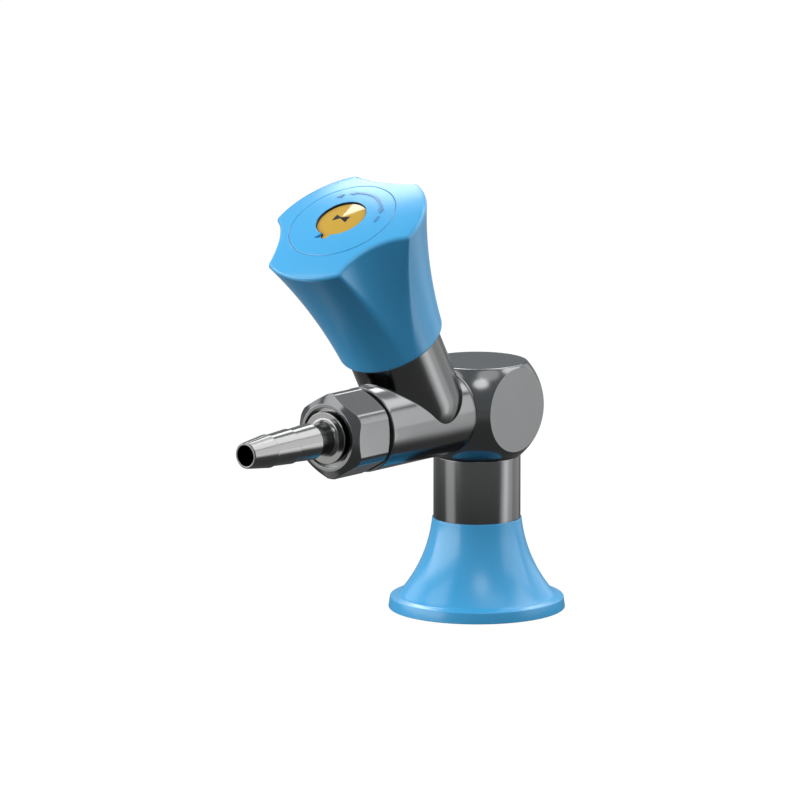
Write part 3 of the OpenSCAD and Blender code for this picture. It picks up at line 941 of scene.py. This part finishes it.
@dataclass
class ValveBody(SubAssembly):
    """Arm with its threaded tail and the boss that carries the valve."""

    arm_r: float = 13.0
    arm_from: float = 16.0
    arm_to: float = 55.2
    foot_edge: float = 0.2
    edge: float = 0.35
    spigot_r: float = 8.0
    spigot_from: float = 9.5
    groove_r: float = 6.6
    groove_z: float = 12.75
    groove_w: float = 1.82
    tail_r: float = 10.7
    tail_to: float = 66.0
    tail_edge: float = 0.4
    boss_r: float = 14.5
    boss_foot: float = 7.2
    foot_steps: int = 18
    fillet: float = 0.45
    fillet_steps: int = 6
    fillet_columns: int = 360
    fillet_sunk: float = 0.5
    corner_sunk: float = 0.6
    search_step: float = 0.2
    search_halvings: int = 20
    boss_len: float = 36.0
    inlet_r: float = 3.2
    inlet_to: float = 26.4
    outlet_r: float = 4.5
    outlet_from: float = 31.0
    past: float = 1.0
    chamber: tuple[Corner, ...] = (
        Corner(0, 0), Corner(2.5, 0), Corner(2.5, 2.5), Corner(5.05, 2.5), Corner(5.05, 4.0),
        Corner(7.0, 4.0), Corner(7.0, 22.0), Corner(9.05, 22.0), Corner(9.05, 40.0),
        Corner(0, 40.0))
    ring_step: float = 1.4

    def lengths(self, start: Corner, end: Corner) -> list[Corner]:
        """Corners of a straight side, with rings between them for even shading."""
        return [start, *spaced(start, end, self.ring_step), end]

    def arm(self) -> Mesh:
        """The arm with its spigot and its tail, out along z."""
        section = [Corner(0, self.spigot_from), Corner(self.spigot_r, self.spigot_from),
                   *groove(self.spigot_r, self.groove_r, self.groove_z, self.groove_w),
                   Corner(self.spigot_r, self.arm_from),
                   *self.lengths(Corner(self.arm_r, self.arm_from, self.foot_edge),
                                 Corner(self.arm_r, self.arm_to, self.edge)),
                   Corner(self.tail_r, self.arm_to),
                   Corner(self.tail_r, self.tail_to, self.tail_edge), Corner(0, self.tail_to)]
        return turned(rounded(section), closed=False)

    def boss(self) -> Mesh:
        """The boss with its round foot, up along z."""
        turns = [math.pi / 2 * (k / self.foot_steps - 1) for k in range(self.foot_steps)]
        ball = [Corner(self.boss_r * math.cos(a), self.boss_foot + self.boss_r * math.sin(a))
                for a in turns]
        section = [*ball, *self.lengths(Corner(self.boss_r, self.boss_foot),
                                        Corner(self.boss_r, self.boss_len, self.edge)),
                   Corner(0, self.boss_len)]
        return turned(rounded(section), closed=False)

    def ball_centre(self, angle: float, z: float) -> Vector:
        """Centre of the ball that rolls round the boss, at an angle and a height."""
        below = max(self.boss_foot - z, 0.0)
        return polar(math.sqrt((self.boss_r + self.fillet) ** 2 - below ** 2), angle, z)

    def ball_gap(self, place: Vector, along: Vector) -> float:
        """Gap between the rolling ball and the arm."""
        return (place - along * place.dot(along)).length - self.arm_r - self.fillet

    def rolled(self, angle: float, along: Vector) -> list[Vector]:
        """Section of the fillet where a ball rolls between boss and arm.

        Args:
            angle: Direction round the boss.
            along: Direction of the arm in the boss's frame.

        Returns:
            Closed section, from inside the metal over the fillet's arc.
        """
        high = self.boss_len
        while self.ball_gap(self.ball_centre(angle, high - self.search_step), along) > 0:
            high -= self.search_step
        low = high - self.search_step
        for _ in range(self.search_halvings):
            half = (low + high) / 2
            if self.ball_gap(self.ball_centre(angle, half), along) < 0:
                low = half
            else:
                high = half
        ball = self.ball_centre(angle, high)
        to_arm = (along * ball.dot(along) - ball).normalized()
        to_boss = (Vector((0, 0, max(high, self.boss_foot))) - ball).normalized()
        deep = self.fillet + self.fillet_sunk
        corner = (to_arm + to_boss).normalized()
        reach = self.fillet / corner.dot(to_arm) + self.corner_sunk
        arc = [ball + to_arm.slerp(to_boss, k / self.fillet_steps) * self.fillet
               for k in range(self.fillet_steps + 1)]
        return [ball + corner * reach, ball + to_arm * deep, *arc, ball + to_boss * deep]

    def foot_fillet(self) -> Mesh:
        """Fillet round the boss's foot, in the boss's frame."""
        turn = Placement.BOSS.matrix.to_3x3().inverted() @ Placement.ARM.matrix.to_3x3()
        along = (turn @ Vector((0, 0, 1))).normalized()
        angles = [TURN * k / self.fillet_columns for k in range(self.fillet_columns)]
        return lofted([self.rolled(angle, along) for angle in angles], closed=True)

    def ways(self) -> Mesh:
        """Cutter of the inlet and the outlet way, out along z."""
        rods = ((self.inlet_r, self.spigot_from - self.past, self.inlet_to),
                (self.outlet_r, self.outlet_from, self.tail_to + self.past))
        return gathered([
            turned(rounded([Corner(0, start), Corner(r, start), Corner(r, end), Corner(0, end)]),
                   closed=False, steps=WAY_STEPS) for r, start, end in rods])

    def build(self) -> None:
        """Joins the boss to the arm and cuts the ways and the chamber in one go."""
        arm, boss = Placement.ARM.matrix, Placement.BOSS.matrix
        chamber = turned(rounded(self.chamber), closed=False, steps=WAY_STEPS)
        inside = combined(moved(self.ways(), arm), moved(chamber, boss), Combine.JOIN)
        casting = moved(self.arm(), arm)
        for part in (self.boss(), self.foot_fillet()):
            casting = combined(casting, moved(part, boss), Combine.JOIN)
        casting = combined(casting, inside, Combine.CUT)
        self.add("valve_casting", casting, COAT, "valve_body", even=True)


@dataclass
class UnionNut(SubAssembly):
    """Turned nut with six flats that holds the nozzle on the tail."""

    back: float = 56.1
    front: float = 71.5
    lip_back: float = 69.5
    turned_r: float = 13.1
    flat: float = 12.0
    first_flat: float = 0.0
    back_r: float = 12.0
    back_chamfer: float = 0.7
    face_r: float = 10.3
    front_chamfer: float = 2.0
    hole_r: float = 9.2
    hole_edge: float = 0.2
    thread_r: float = 10.75
    edges: tuple[float, float, float, float] = (0.15, 0.1, 0.25, 0.3)
    blend: float = 0.22
    columns: int = 540
    row_step: float = 0.22
    row_margin: int = 2

    placement = Placement.ARM

    def section(self) -> list[Vector]:
        """Half section before the flats are cut, with close rows on the outside."""
        heel, back, shoulder, face = self.edges
        outside = [Corner(self.back_r, self.back, heel),
                   Corner(self.turned_r, self.back + self.back_chamfer, back),
                   Corner(self.turned_r, self.front - self.front_chamfer, shoulder),
                   Corner(self.face_r, self.front, face)]
        rows = [outside[0]]
        for start, end in zip(outside, outside[1:]):
            rows += [*spaced(start, end, self.row_step, self.row_margin), end]
        inside = [Corner(self.hole_r, self.front, self.hole_edge),
                  Corner(self.hole_r, self.lip_back), Corner(self.thread_r, self.lip_back),
                  Corner(self.thread_r, self.back, self.hole_edge)]
        return rounded([*rows, *inside], closed=True)

    def build(self) -> None:
        """Wraps the section round the axis and trims it to the flats."""
        section = self.section()
        profiles = []
        for angle in (TURN * i / self.columns for i in range(self.columns)):
            off = (angle - self.first_flat + TURN / 12) % (TURN / 6) - TURN / 12
            limit = self.flat / math.cos(off)
            profiles.append([
                polar(smooth_min(r, limit, self.blend) if r > self.thread_r else r, angle, z)
                for r, z in section])
        self.add("nut_turned", lofted(profiles, closed=True), COAT, "union_nut", even=True)


@dataclass
class HoseNozzle(SubAssembly):
    """Bright nozzle with barbs, held by its flange in the union nut."""

    back: float = 67.5
    flange_r: float = 10.2
    flange_edge: float = 0.2
    lip_back: float = 69.5
    collar_r: float = 8.0
    collar: float = 72.5
    collar_edge: float = 0.25
    neck_r: float = 4.9
    neck_edge: float = 0.1
    fillet: float = 1.3
    barbs_back: float = 79.5
    end: float = 108.9
    pitch: float = 9.8
    barb_r: float = 5.1
    barb_edges: tuple[float, float, float] = (0.12, 0.1, 0.15)
    growth: float = 0.25
    step: float = 0.35
    land: float = 0.3
    tip_r: float = 4.0
    tip_edge: float = 0.3
    tip_round: float = 0.15
    bore_r: float = 3.2
    barbs: int = 3
    steps: int = 384

    placement = Placement.ARM

    def build(self) -> None:
        """Turns the nozzle from its half section."""
        section = [Corner(self.bore_r, self.back, self.flange_edge),
                   Corner(self.flange_r, self.back, self.flange_edge),
                   Corner(self.flange_r, self.lip_back), Corner(self.collar_r, self.lip_back),
                   Corner(self.collar_r, self.collar, self.collar_edge),
                   Corner(self.neck_r, self.collar, self.fillet),
                   Corner(self.neck_r, self.barbs_back, self.neck_edge)]
        root, crest, shoulder = self.barb_edges
        for i in reversed(range(self.barbs)):
            z = self.end - (i + 1) * self.pitch
            top = self.barb_r + i * self.growth
            section += [Corner(top - self.step, z, root), Corner(top, z, crest),
                        Corner(top, z + self.land, shoulder)]
        section += [Corner(self.tip_r, self.end - self.tip_edge, self.tip_round),
                    Corner(self.tip_r - self.tip_edge, self.end, self.tip_round),
                    Corner(self.bore_r, self.end, self.tip_round)]
        skin = turned(rounded(section, closed=True), steps=self.steps)
        self.add("nozzle_turned", skin, NICKEL, "hose_nozzle", even=True)


@dataclass
class Handwheel(SubAssembly):
    """Three-lobed handwheel with its cap, the index disc and their marks."""

    bottom: float = 29.5
    top: float = 77.0
    rim_r: float = 26.4
    foot_r: float = 16.6
    foot_round: float = 1.4
    hollow: float = 1.4
    crown_r: float = 110.0
    edge: float = 1.2
    flute_r: float = 26.7
    flute_floors: tuple[float, float] = (16.5, 20.75)
    flutes: int = 3
    first_flute: float = math.pi / 2
    blends: tuple[float, float] = (0.3, 0.9)
    blend_span: float = 20.0
    columns: int = 540
    wall_rows: int = 56
    edge_rows: int = 8
    crown_rows: int = 7
    edge_rounds: int = 6
    cap_gap_r: float = 17.15
    cap_bevel: float = 0.15
    core: tuple[Corner, ...] = (
        Corner(17.15, 73.2), Corner(14.5, 73.2), Corner(14.5, 68.0), Corner(7.05, 68.0),
        Corner(7.05, 56.0), Corner(9.5, 56.0), Corner(9.5, 66.0), Corner(14.8, 66.0),
        Corner(14.8, 29.8), Corner(15.1, 29.5))

    placement = Placement.BOSS
    body = Body.WHEEL

    def crown(self, r: float) -> float:
        """Height of the crowned top at a distance from the axis."""
        return self.top - self.crown_r + math.sqrt(self.crown_r ** 2 - r ** 2)

    @property
    def wall_foot(self) -> float:
        """Height at which the side ends and its foot's rounding begins."""
        return self.bottom + self.foot_round

    @property
    def pole(self) -> Vector:
        """Centre of the crowned top."""
        return Vector((0, 0, self.top - self.crown_r))

    def wall_r(self, angle: float, z: float) -> float:
        """Distance from the axis to the side, flutes included.

        Args:
            angle: Direction round the axis.
            z: Height.

        Returns:
            The distance.
        """
        foot = Vector((self.foot_r, self.wall_foot))
        rim = Vector((self.rim_r, self.crown(self.rim_r)))
        centre, radius = arc_circle(foot, rim, self.hollow)
        lobe = centre.x - math.sqrt(radius ** 2 - (z - centre.y) ** 2)
        low, high = self.flute_floors
        slope = (high - low) / (self.top - self.bottom)
        wide = self.flute_r * math.hypot(1, slope)
        out = low + (z - self.bottom) * slope + wide
        part = TURN / self.flutes
        off = (angle - self.first_flute + part / 2) % part - part / 2
        across, along = math.cos(off) / wide, math.sin(off) / self.flute_r
        square = across ** 2 + along ** 2
        middle = across * out / wide
        rest = middle ** 2 - square * ((out / wide) ** 2 - 1)
        if rest <= 0:
            return lobe
        share = min(max((z - self.wall_foot) / self.blend_span, 0.0), 1.0)
        blend = self.blends[0] + (self.blends[1] - self.blends[0]) * share
        return smooth_min(lobe, (middle - math.sqrt(rest)) / square, blend)

    def wall(self, angle: float, z: float) -> Vector:
        """Point of the side at an angle and a height."""
        return polar(self.wall_r(angle, z), angle, z)

    def wall_normal(self, angle: float, z: float) -> Vector:
        """Direction in which the side faces.

        Args:
            angle: Direction round the axis.
            z: Height.

        Returns:
            The direction, of length 1.
        """
        small = 0.01
        around = self.wall(angle + small, z) - self.wall(angle - small, z)
        return around.cross(self.wall(angle, z + small) - self.wall(angle, z - small)).normalized()

    def edge_centre(self, angle: float) -> tuple[Vector, Vector]:
        """Finds where the top edge's rounding touches both the side and the top.

        Args:
            angle: Direction round the axis.

        Returns:
            The rounding's centre, and the direction in which the side faces there.
        """
        z = self.crown(self.rim_r) - self.edge
        for _ in range(self.edge_rounds):
            facing = self.wall_normal(angle, z)
            centre = self.wall(angle, z) - facing * self.edge
            z -= (centre - self.pole).length - (self.crown_r - self.edge)
        return centre, facing

    def profile(self, angle: float) -> list[Vector]:
        """Closed section of the handwheel.

        Args:
            angle: Direction round the axis.

        Returns:
            Points from the foot up the side, over the top and back through the hollow.
        """
        centre, facing = self.edge_centre(angle)
        rise = (centre + facing * self.edge).z - self.wall_foot
        foot_r = self.wall_r(angle, self.wall_foot) - self.foot_round
        turns = [math.pi / 2 * (k / self.edge_rows - 1) for k in range(self.edge_rows)]
        points = [polar(foot_r + self.foot_round * math.cos(turn), angle,
                        self.wall_foot + self.foot_round * math.sin(turn)) for turn in turns]
        points += [self.wall(angle, self.wall_foot + rise * k / self.wall_rows)
                   for k in range(self.wall_rows)]
        upward = (centre - self.pole).normalized()
        points += [centre + facing.slerp(upward, k / self.edge_rows) * self.edge
                   for k in range(self.edge_rows + 1)]
        ring = polar(self.cap_gap_r + self.cap_bevel, angle, 0)
        last = points[-1].copy()
        for k in range(1, self.crown_rows + 1):
            flat = last.lerp(ring, k / self.crown_rows)
            points.append(Vector((flat.x, flat.y, self.crown(math.hypot(flat.x, flat.y)))))
        points.append(polar(self.cap_gap_r, angle, self.crown(self.cap_gap_r) - self.cap_bevel))
        return points + [polar(r, angle, z) for r, z, _ in self.core]

    def build(self) -> None:
        """Builds the handwheel's grip."""
        angles = [TURN * i / self.columns for i in range(self.columns)]
        profiles = [self.profile(angle) for angle in angles]
        self.add("handwheel_grip", lofted(profiles, closed=True), BLUE, "handwheel")


@dataclass
class IndexCap(SubAssembly):
    """Cap in the handwheel's top with the index disc in its recess."""

    wheel: Handwheel
    r: float = 16.95
    seat: float = 73.2
    spigot: tuple[float, float] = (14.45, 13.25)
    spigot_foot: float = 72.2
    bevel: float = 0.15
    disc_r: float = 7.95
    disc_base: float = 74.9
    disc_face: float = 75.9
    disc_rise: float = 0.9
    gap: float = 0.12
    lining: float = 0.1
    lug_w: float = 2.8
    lug_end: float = 9.85
    lug_steps: int = 16
    crown_rows: int = 14
    cone_rows: int = 8
    arc_step: float = 0.02
    slot: tuple[tuple[float, float], ...] = ((-1.3, -7.5), (-3.4, -10.2), (-1.3, -9.95))
    slot_depth: float = 1.0
    past: float = 2.0
    sunk: float = 0.1
    sign_size: tuple[float, float] = (5.2, 2.9)
    sign_waist: float = 0.2
    sign_grid: tuple[int, int] = (32, 8)
    sign_rise: float = 0.03
    arrow_at: float = 68.0
    arrow_span: float = 74.0
    arrow_r: float = 12.6
    arrow_w: float = 0.8
    arrow_head: float = 9.0
    head_w: float = 2.2
    mark_size: float = 2.4
    mark_gap: float = 1.15
    mark_grid: tuple[int, int] = (24, 2)
    mark_rise: float = 0.26
    stroke: float = 0.55

    placement = Placement.BOSS
    body = Body.WHEEL

    def plan(self, grow: float) -> list[Vector]:
        """Outline of the disc with its lug, anticlockwise from the lug's left.

        Args:
            grow: Distance by which the outline is grown.

        Returns:
            Its points.
        """
        half = self.lug_w / 2 + grow
        centre = Vector((0, -self.lug_end + self.lug_w / 2))
        r = self.disc_r + grow
        lug = [centre + half * Vector((math.cos(a), math.sin(a)))
               for a in (math.pi * (1 + k / self.lug_steps) for k in range(self.lug_steps + 1))]
        root = math.acos(half / r)
        sweep = math.pi + 2 * root
        steps = round(sweep / self.arc_step)
        ring = [r * Vector((math.cos(a), math.sin(a)))
                for a in (sweep * k / steps - root for k in range(steps + 1))]
        return [*lug, *ring]

    def cone(self, rho: float) -> float:
        """Height of the disc's face at a distance from the axis."""
        return self.disc_face + self.disc_rise * max(0.0, 1 - rho / self.disc_r)

    def cap_profile(self, point: Vector) -> list[Vector]:
        """Section of the cap from the recess's floor over the top to the underside.

        Args:
            point: Point of the recess's outline that the section runs through.

        Returns:
            Points of the section.
        """
        angle, rho = math.atan2(point.y, point.x), point.length
        spoke = point / rho
        rows = [Vector((0, 0, self.disc_base)), Vector((*point, self.disc_base)),
                Vector((*point, self.wheel.crown(rho) - self.bevel))]
        inner, outer = rho + self.bevel, self.r - self.bevel
        for k in range(self.crown_rows + 1):
            r = inner + (outer - inner) * k / self.crown_rows
            rows.append(Vector((*(spoke * r), self.wheel.crown(r))))
        outside, inside = self.spigot
        skirt = ((self.r, self.wheel.crown(self.r) - self.bevel), (self.r, self.seat),
                 (outside, self.seat), (outside, self.spigot_foot), (inside, self.spigot_foot),
                 (inside, self.seat), (0, self.seat))
        return rows + [polar(r, angle, z) for r, z in skirt]

    def disc_profile(self, point: Vector) -> list[Vector]:
        """Section of the index disc from its tip over the edge to the underside.

        Args:
            point: Point of the disc's outline that the section runs through.

        Returns:
            Points of the section.
        """
        rows = [Vector((0, 0, self.cone(0)))]
        for k in range(1, self.cone_rows + 1):
            flat = point * (1 - self.bevel / point.length) * k / self.cone_rows
            rows.append(Vector((*flat, self.cone(flat.length))))
        return [*rows, Vector((*point, self.disc_face - self.bevel)),
                Vector((*point, self.disc_base)), Vector((0, 0, self.disc_base))]

    def painted_shade_ring(self) -> Mesh:
        """Thin black ring of painted shade on the recess's wall, in the gap round the disc."""
        profiles = []
        for point in self.plan(self.gap):
            inner = point * (1 - self.lining / point.length)
            top = self.wheel.crown(point.length) - self.bevel
            profiles.append([Vector((*flat, z)) for flat, z in (
                (point, self.disc_base), (point, top), (inner, top), (inner, self.disc_base))])
        return lofted(profiles, closed=True)

    def pry_slot(self) -> Mesh:
        """Cutter of the three-sided pocket beside the lug, where a blade lifts the disc."""
        bm = bmesh.new()
        bmesh.ops.create_circle(bm, cap_ends=True, segments=3, radius=1)
        for vert, (x, y) in zip(bm.verts, self.slot):
            vert.co = (x, y, self.wheel.crown(math.hypot(x, y)) - self.slot_depth)
        return raised(bm, self.slot_depth + self.past)

    def plate(self, grid: tuple[int, int], rise: float,
              bend: Callable[[float, float], Vector]) -> Mesh:
        """Thin plate on the cap or the disc, from a grid that is bent into shape.

        Args:
            grid: Steps along the grid and across it.
            rise: Height of its top over the surface.
            bend: Place on the surface for two shares from -1 to 1.

        Returns:
            The closed plate, sunk a little into the surface.
        """
        bm = bmesh.new()
        bmesh.ops.create_grid(bm, x_segments=grid[0], y_segments=grid[1], size=1)
        for vert in bm.verts:
            vert.co = bend(vert.co.x, vert.co.y) - Vector((0, 0, self.sunk))
        return raised(bm, rise + self.sunk)

    def sign(self) -> Mesh:
        """Plain sign of a valve on the disc: two triangles, tip to tip."""
        wide, tall = self.sign_size

        def bend(x: float, y: float) -> Vector:
            """Place on the disc's face.

            Args:
                x: Share along the sign from -1 to 1.
                y: Share across it from -1 to 1.

            Returns:
                The place.
            """
            waist = self.sign_waist + (1 - self.sign_waist) * abs(x)
            flat = Vector((x * wide / 2, y * tall / 2 * waist))
            return Vector((*flat, self.cone(flat.length)))

        return self.plate(self.sign_grid, self.sign_rise, bend)

    def on_ring(self, across: float, angle: float) -> Vector:
        """Place on the crowned top, at a distance from the marks' circle and an angle."""
        r = self.arrow_r + across
        return polar(r, angle, self.wheel.crown(r))

    def marks(self) -> Mesh:
        """Raised marks on the cap's ring: a bent arrow from minus to plus."""
        middle, reach = math.radians(self.arrow_at), math.radians(self.arrow_span) / 2
        head, half_head = math.radians(self.arrow_head), self.head_w / 2 * self.arrow_w / 2
        side = self.mark_gap * self.mark_size / self.arrow_r
        long, thin = self.mark_size / 2, self.stroke / 2
        bends = [lambda x, y: self.on_ring(y * self.arrow_w / 2, middle + x * reach)]
        for way in (-1, 1):
            tip = middle + way * (reach + head)
            spot = tip + way * side
            bends.append(lambda x, y, tip=tip, way=way: self.on_ring(
                y * (x + 1) * half_head, tip - way * (x + 1) / 2 * head))
            bends.append(lambda x, y, spot=spot: self.on_ring(
                y * thin, spot + x * long / self.arrow_r))
        plus = middle + reach + head + side
        bends.append(lambda x, y: self.on_ring(x * long, plus + y * thin / self.arrow_r))
        return gathered([self.plate(self.mark_grid, self.mark_rise, bend) for bend in bends])

    def build(self) -> None:
        """Builds the cap, the disc and their marks."""
        cap = lofted([self.cap_profile(p) for p in self.plan(self.gap)], closed=False)
        cap = combined(cap, self.pry_slot(), Combine.CUT)
        self.add("cap_shell", cap, BLUE, "handwheel_cap")
        disc = lofted([self.disc_profile(p) for p in self.plan(0)], closed=False)
        self.add("disc_face", disc, AMBER, "index_disc", sharp=20)
        # The black ring is painted shade: it darkens the recess's wall, which is the cap's own
        # blue
        self.add("recess_painted_shade", self.painted_shade_ring(), INK_AND_SHADE)
        self.add("disc_sign", self.sign(), INK_AND_SHADE)
        # The marks' darker blue is painted shade
        self.add("turning_marks", self.marks(), MARK_PAINTED_SHADE, sharp=50)


class InnerParts:
    """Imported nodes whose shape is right: they stay and get a finish."""

    def build(self, nodes: Mapping[str, bpy.types.Object]) -> None:
        """Dresses the nodes.

        Args:
            nodes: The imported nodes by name.
        """
        for name, finish in INNER_FINISHES.items():
            slots = nodes[name].material_slots
            if not slots:
                nodes[name].data.materials.append(finish.material())
            for slot in slots:
                slot.material = finish.material()
            nodes[name].visible_glossy = False
            log.info("%s: packed node, %s", name, finish.name)


# Studio


class Shape(Enum):
    """Outlines of lamps, each with the share of its box that it fills."""

    BOX = ("RECTANGLE", 1.0)
    OVAL = ("ELLIPSE", math.pi / 4)


@dataclass(frozen=True)
class Softbox:
    """Flat lamp that faces the object; angles in degrees, sizes in metres."""

    name: str
    azimuth: float
    elevation: float
    distance: float
    width: float
    height: float
    radiance: float
    shape: Shape = Shape.BOX

    def build(self, target: Vector) -> None:
        """Hangs the lamp.

        Args:
            target: The point that it faces, in metres.
        """
        lamp = bpy.data.lights.new(self.name, "AREA")
        lamp.shape, share = self.shape.value
        lamp.size, lamp.size_y = self.width, self.height
        lamp.energy = self.radiance * math.pi * share * self.width * self.height
        a, e = math.radians(self.azimuth), math.radians(self.elevation)
        away = Vector((math.cos(a) * math.cos(e), math.sin(a) * math.cos(e), math.sin(e)))
        holder = linked(self.name, lamp)
        holder.location = target + away * self.distance
        holder.rotation_euler = away.to_track_quat("Z", "Y").to_euler()
        holder.visible_camera = False
        log.info("%s: radiance %.2f", self.name, self.radiance)


@dataclass(frozen=True)
class Glow:
    """Sector of the floor that mirrors a lit part of the studio; degrees and metres."""

    azimuth: float
    half: float
    radiance: float
    near: float
    far: float


@dataclass
class Studio:
    """Floor, lamps, surroundings and camera."""

    target: tuple[float, float, float] = (0.0, -0.03, 0.065)
    view_azimuth: float = 39.98
    view_elevation: float = 10.67
    view_distance: float = 2501.3
    view_centre: tuple[float, float] = (-23.79, 64.97)
    focal_px: float = 8103.88
    frame_px: float = 800.0
    sensor: float = 36.0
    clip: tuple[float, float] = (0.05, 50.0)
    floor_r: float = 9.0
    floor_steps: int = 96
    floor_white: float = 0.975
    floor_colour: float = 0.04
    floor_gloss: tuple[float, float] = (0.10, 0.30)
    floor_reach: tuple[float, float] = (0.10, 0.36)
    glow_edge: float = 5.0
    glow_apex: tuple[float, float] = (0.008, -0.020)
    glows: tuple[Glow, ...] = (Glow(38, 18, 1.3, 0.06, 0.17), Glow(35, 5, 1.3, 0.10, 0.15),
                               Glow(74, 18, 0.6, 0.08, 0.15), Glow(-128, 14, 1.15, 0.05, 0.11))
    front_ambient: float = 0.40
    back_ambient: float = 0.32
    high_ambient: float = 0.52
    high_reach: tuple[float, float] = (0.4, 0.97)
    back_reach: float = 0.6
    ambient_tone: Colour = (0.92, 0.985, 1.03)
    lamps: tuple[Softbox, ...] = (
        Softbox("right_lamp", 38, 15, 1.2, 1.15, 0.66, 2.0),
        Softbox("right_high_lamp", 60, 45, 1.2, 0.80, 0.50, 3.1),
        Softbox("back_lamp", 88, 18, 1.25, 0.70, 0.80, 0.85),
        Softbox("nut_lamp", 102, 38, 1.2, 0.42, 0.42, 0.45),
        Softbox("edge_lamp", 119, 38, 1.2, 0.22, 0.55, 4.2),
        Softbox("edge_high_lamp", 90, 60, 1.2, 0.45, 0.22, 3.6),
        Softbox("left_lamp", -129, 11, 1.2, 1.70, 0.62, 3.8),
        Softbox("left_high_lamp", -128, 48, 1.2, 0.90, 0.48, 2.1),
        Softbox("far_left_lamp", -178, 23, 1.2, 0.60, 0.46, 1.4),
        Softbox("front_high_lamp", -40, 46, 1.2, 0.52, 0.36, 3.6, Shape.OVAL),
        Softbox("front_top_lamp", -12, 60, 1.2, 0.80, 0.50, 1.2, Shape.OVAL),
        Softbox("crown_lamp", 140, 40, 4.0, 0.95, 1.80, 6.4),
    )

    def camera(self) -> None:
        """Places the camera at the photograph's viewing angle."""
        a, e = math.radians(self.view_azimuth), math.radians(self.view_elevation)
        across, up = self.view_centre
        target = Vector((across * math.cos(a), across * math.sin(a), up))
        back = Vector((math.sin(a) * math.cos(e), -math.cos(a) * math.cos(e), math.sin(e)))
        lens = bpy.data.cameras.new("view")
        lens.sensor_width = self.sensor
        lens.lens = self.focal_px * self.sensor / self.frame_px
        lens.clip_start, lens.clip_end = self.clip
        holder = linked("view", lens)
        holder.location = (target + back * self.view_distance) * MM
        holder.rotation_euler = back.to_track_quat("Z", "Y").to_euler()
        bpy.context.scene.camera = holder

    def floor(self) -> None:
        """Lays the pale floor: white to the camera, plain to the object."""
        bm = bmesh.new()
        bmesh.ops.create_circle(bm, cap_ends=True, segments=self.floor_steps,
                                radius=self.floor_r)
        mesh = bpy.data.meshes.new("floor")
        bm.to_mesh(mesh)
        bm.free()
        mesh.materials.append(self.floor_material())
        linked("floor", mesh)

    def floor_glow(self, nodes: Nodes) -> Socket:
        """Strength with which the floor shows in mirrors.

        Args:
            nodes: The floor material's nodes.

        Returns:
            The strength: dim near the object, with a lit patch for each glow.
        """
        flat = nodes.vector("SUBTRACT", nodes.object_point(), (*self.glow_apex, 0),
                            result="Vector")
        far = nodes.vector("LENGTH", flat)
        spoke = nodes.vector("NORMALIZE", flat, result="Vector")
        strength = nodes.spread(nodes.eased(far, *self.floor_reach), *self.floor_gloss)
        for sector in self.glows:
            a = math.radians(sector.azimuth)
            way = nodes.vector("DOT_PRODUCT", spoke, (math.cos(a), math.sin(a), 0))
            dark = math.cos(math.radians(sector.half + self.glow_edge))
            lit = math.cos(math.radians(sector.half - self.glow_edge))
            mask = nodes.math("MULTIPLY", nodes.eased(way, dark, lit),
                              nodes.eased(far, sector.near, sector.far))
            strength = nodes.math("MULTIPLY_ADD", mask, sector.radiance, strength)
        return strength

    def floor_material(self) -> bpy.types.Material:
        """Material of the floor."""
        material = bpy.data.materials.new("floor")
        material.use_nodes = True
        material.node_tree.nodes.clear()
        nodes = Nodes(material.node_tree)
        path = nodes.place("LightPath").outputs
        mirror = nodes.math("ADD", path["Is Glossy Ray"], path["Is Transmission Ray"])
        seen = nodes.math("MULTIPLY", path["Is Camera Ray"], self.floor_white)
        strength = nodes.math("MULTIPLY_ADD", mirror, self.floor_glow(nodes), seen)
        light = nodes.place("Emission", {"Color": (1, 1, 1, 1), "Strength": strength})
        grey = self.floor_colour
        plain = nodes.place("BsdfDiffuse", {"Color": (grey, grey, grey, 1)})
        both = nodes.place("AddShader", {0: light.outputs[0], 1: plain.outputs[0]})
        nodes.place("OutputMaterial", {"Surface": both.outputs[0]})
        return material

    def surroundings(self) -> None:
        """Lights the room softly, dimmer on the camera's side, and white behind it all."""
        world = bpy.data.worlds.new("room")
        world.use_nodes = True
        nodes = Nodes(world.node_tree)
        a = math.radians(self.view_azimuth)
        point = nodes.place("TexCoord").outputs["Generated"]
        way = nodes.vector("DOT_PRODUCT", point, (-math.sin(a), math.cos(a), 0))
        behind = nodes.eased(way, -self.back_reach, self.back_reach)
        low = nodes.spread(behind, self.front_ambient, self.back_ambient)
        above = nodes.eased(nodes.place("SeparateXYZ", {0: point}).outputs[2], *self.high_reach)
        soft = nodes.place("Mix", {0: above, 2: low, 3: self.high_ambient}).outputs[0]
        seen = nodes.place("LightPath").outputs["Is Camera Ray"]
        nodes.join(world.node_tree.nodes["Background"], {
            "Color": nodes.tint(seen, self.ambient_tone, (1, 1, 1)),
            "Strength": nodes.math("MAXIMUM", soft, seen)})
        bpy.context.scene.world = world

    def build(self) -> None:
        """Sets up the studio."""
        self.camera()
        self.floor()
        self.surroundings()
        for lamp in self.lamps:
            lamp.build(Vector(self.target))
        bpy.context.scene.view_settings.view_transform = "Standard"


def corners(box: tuple[Vector, Vector]) -> list[list[float]]:
    """A box's two corners as plain numbers."""
    return [list(corner) for corner in box]


def main() -> None:
    """Builds the tap's visible pieces, its finishes and the studio."""
    logging.basicConfig(level=logging.INFO, format="%(name)s: %(message)s")
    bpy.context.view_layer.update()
    wheel = Handwheel()
    for part in (BaseCover(), Column(), HeadBlock(), ValveBody(), UnionNut(), HoseNozzle(),
                 wheel, IndexCap(wheel)):
        part.build()
    InnerParts().build(frame["nodes"])
    Studio().build()


if __name__ == "__main__":
    main()
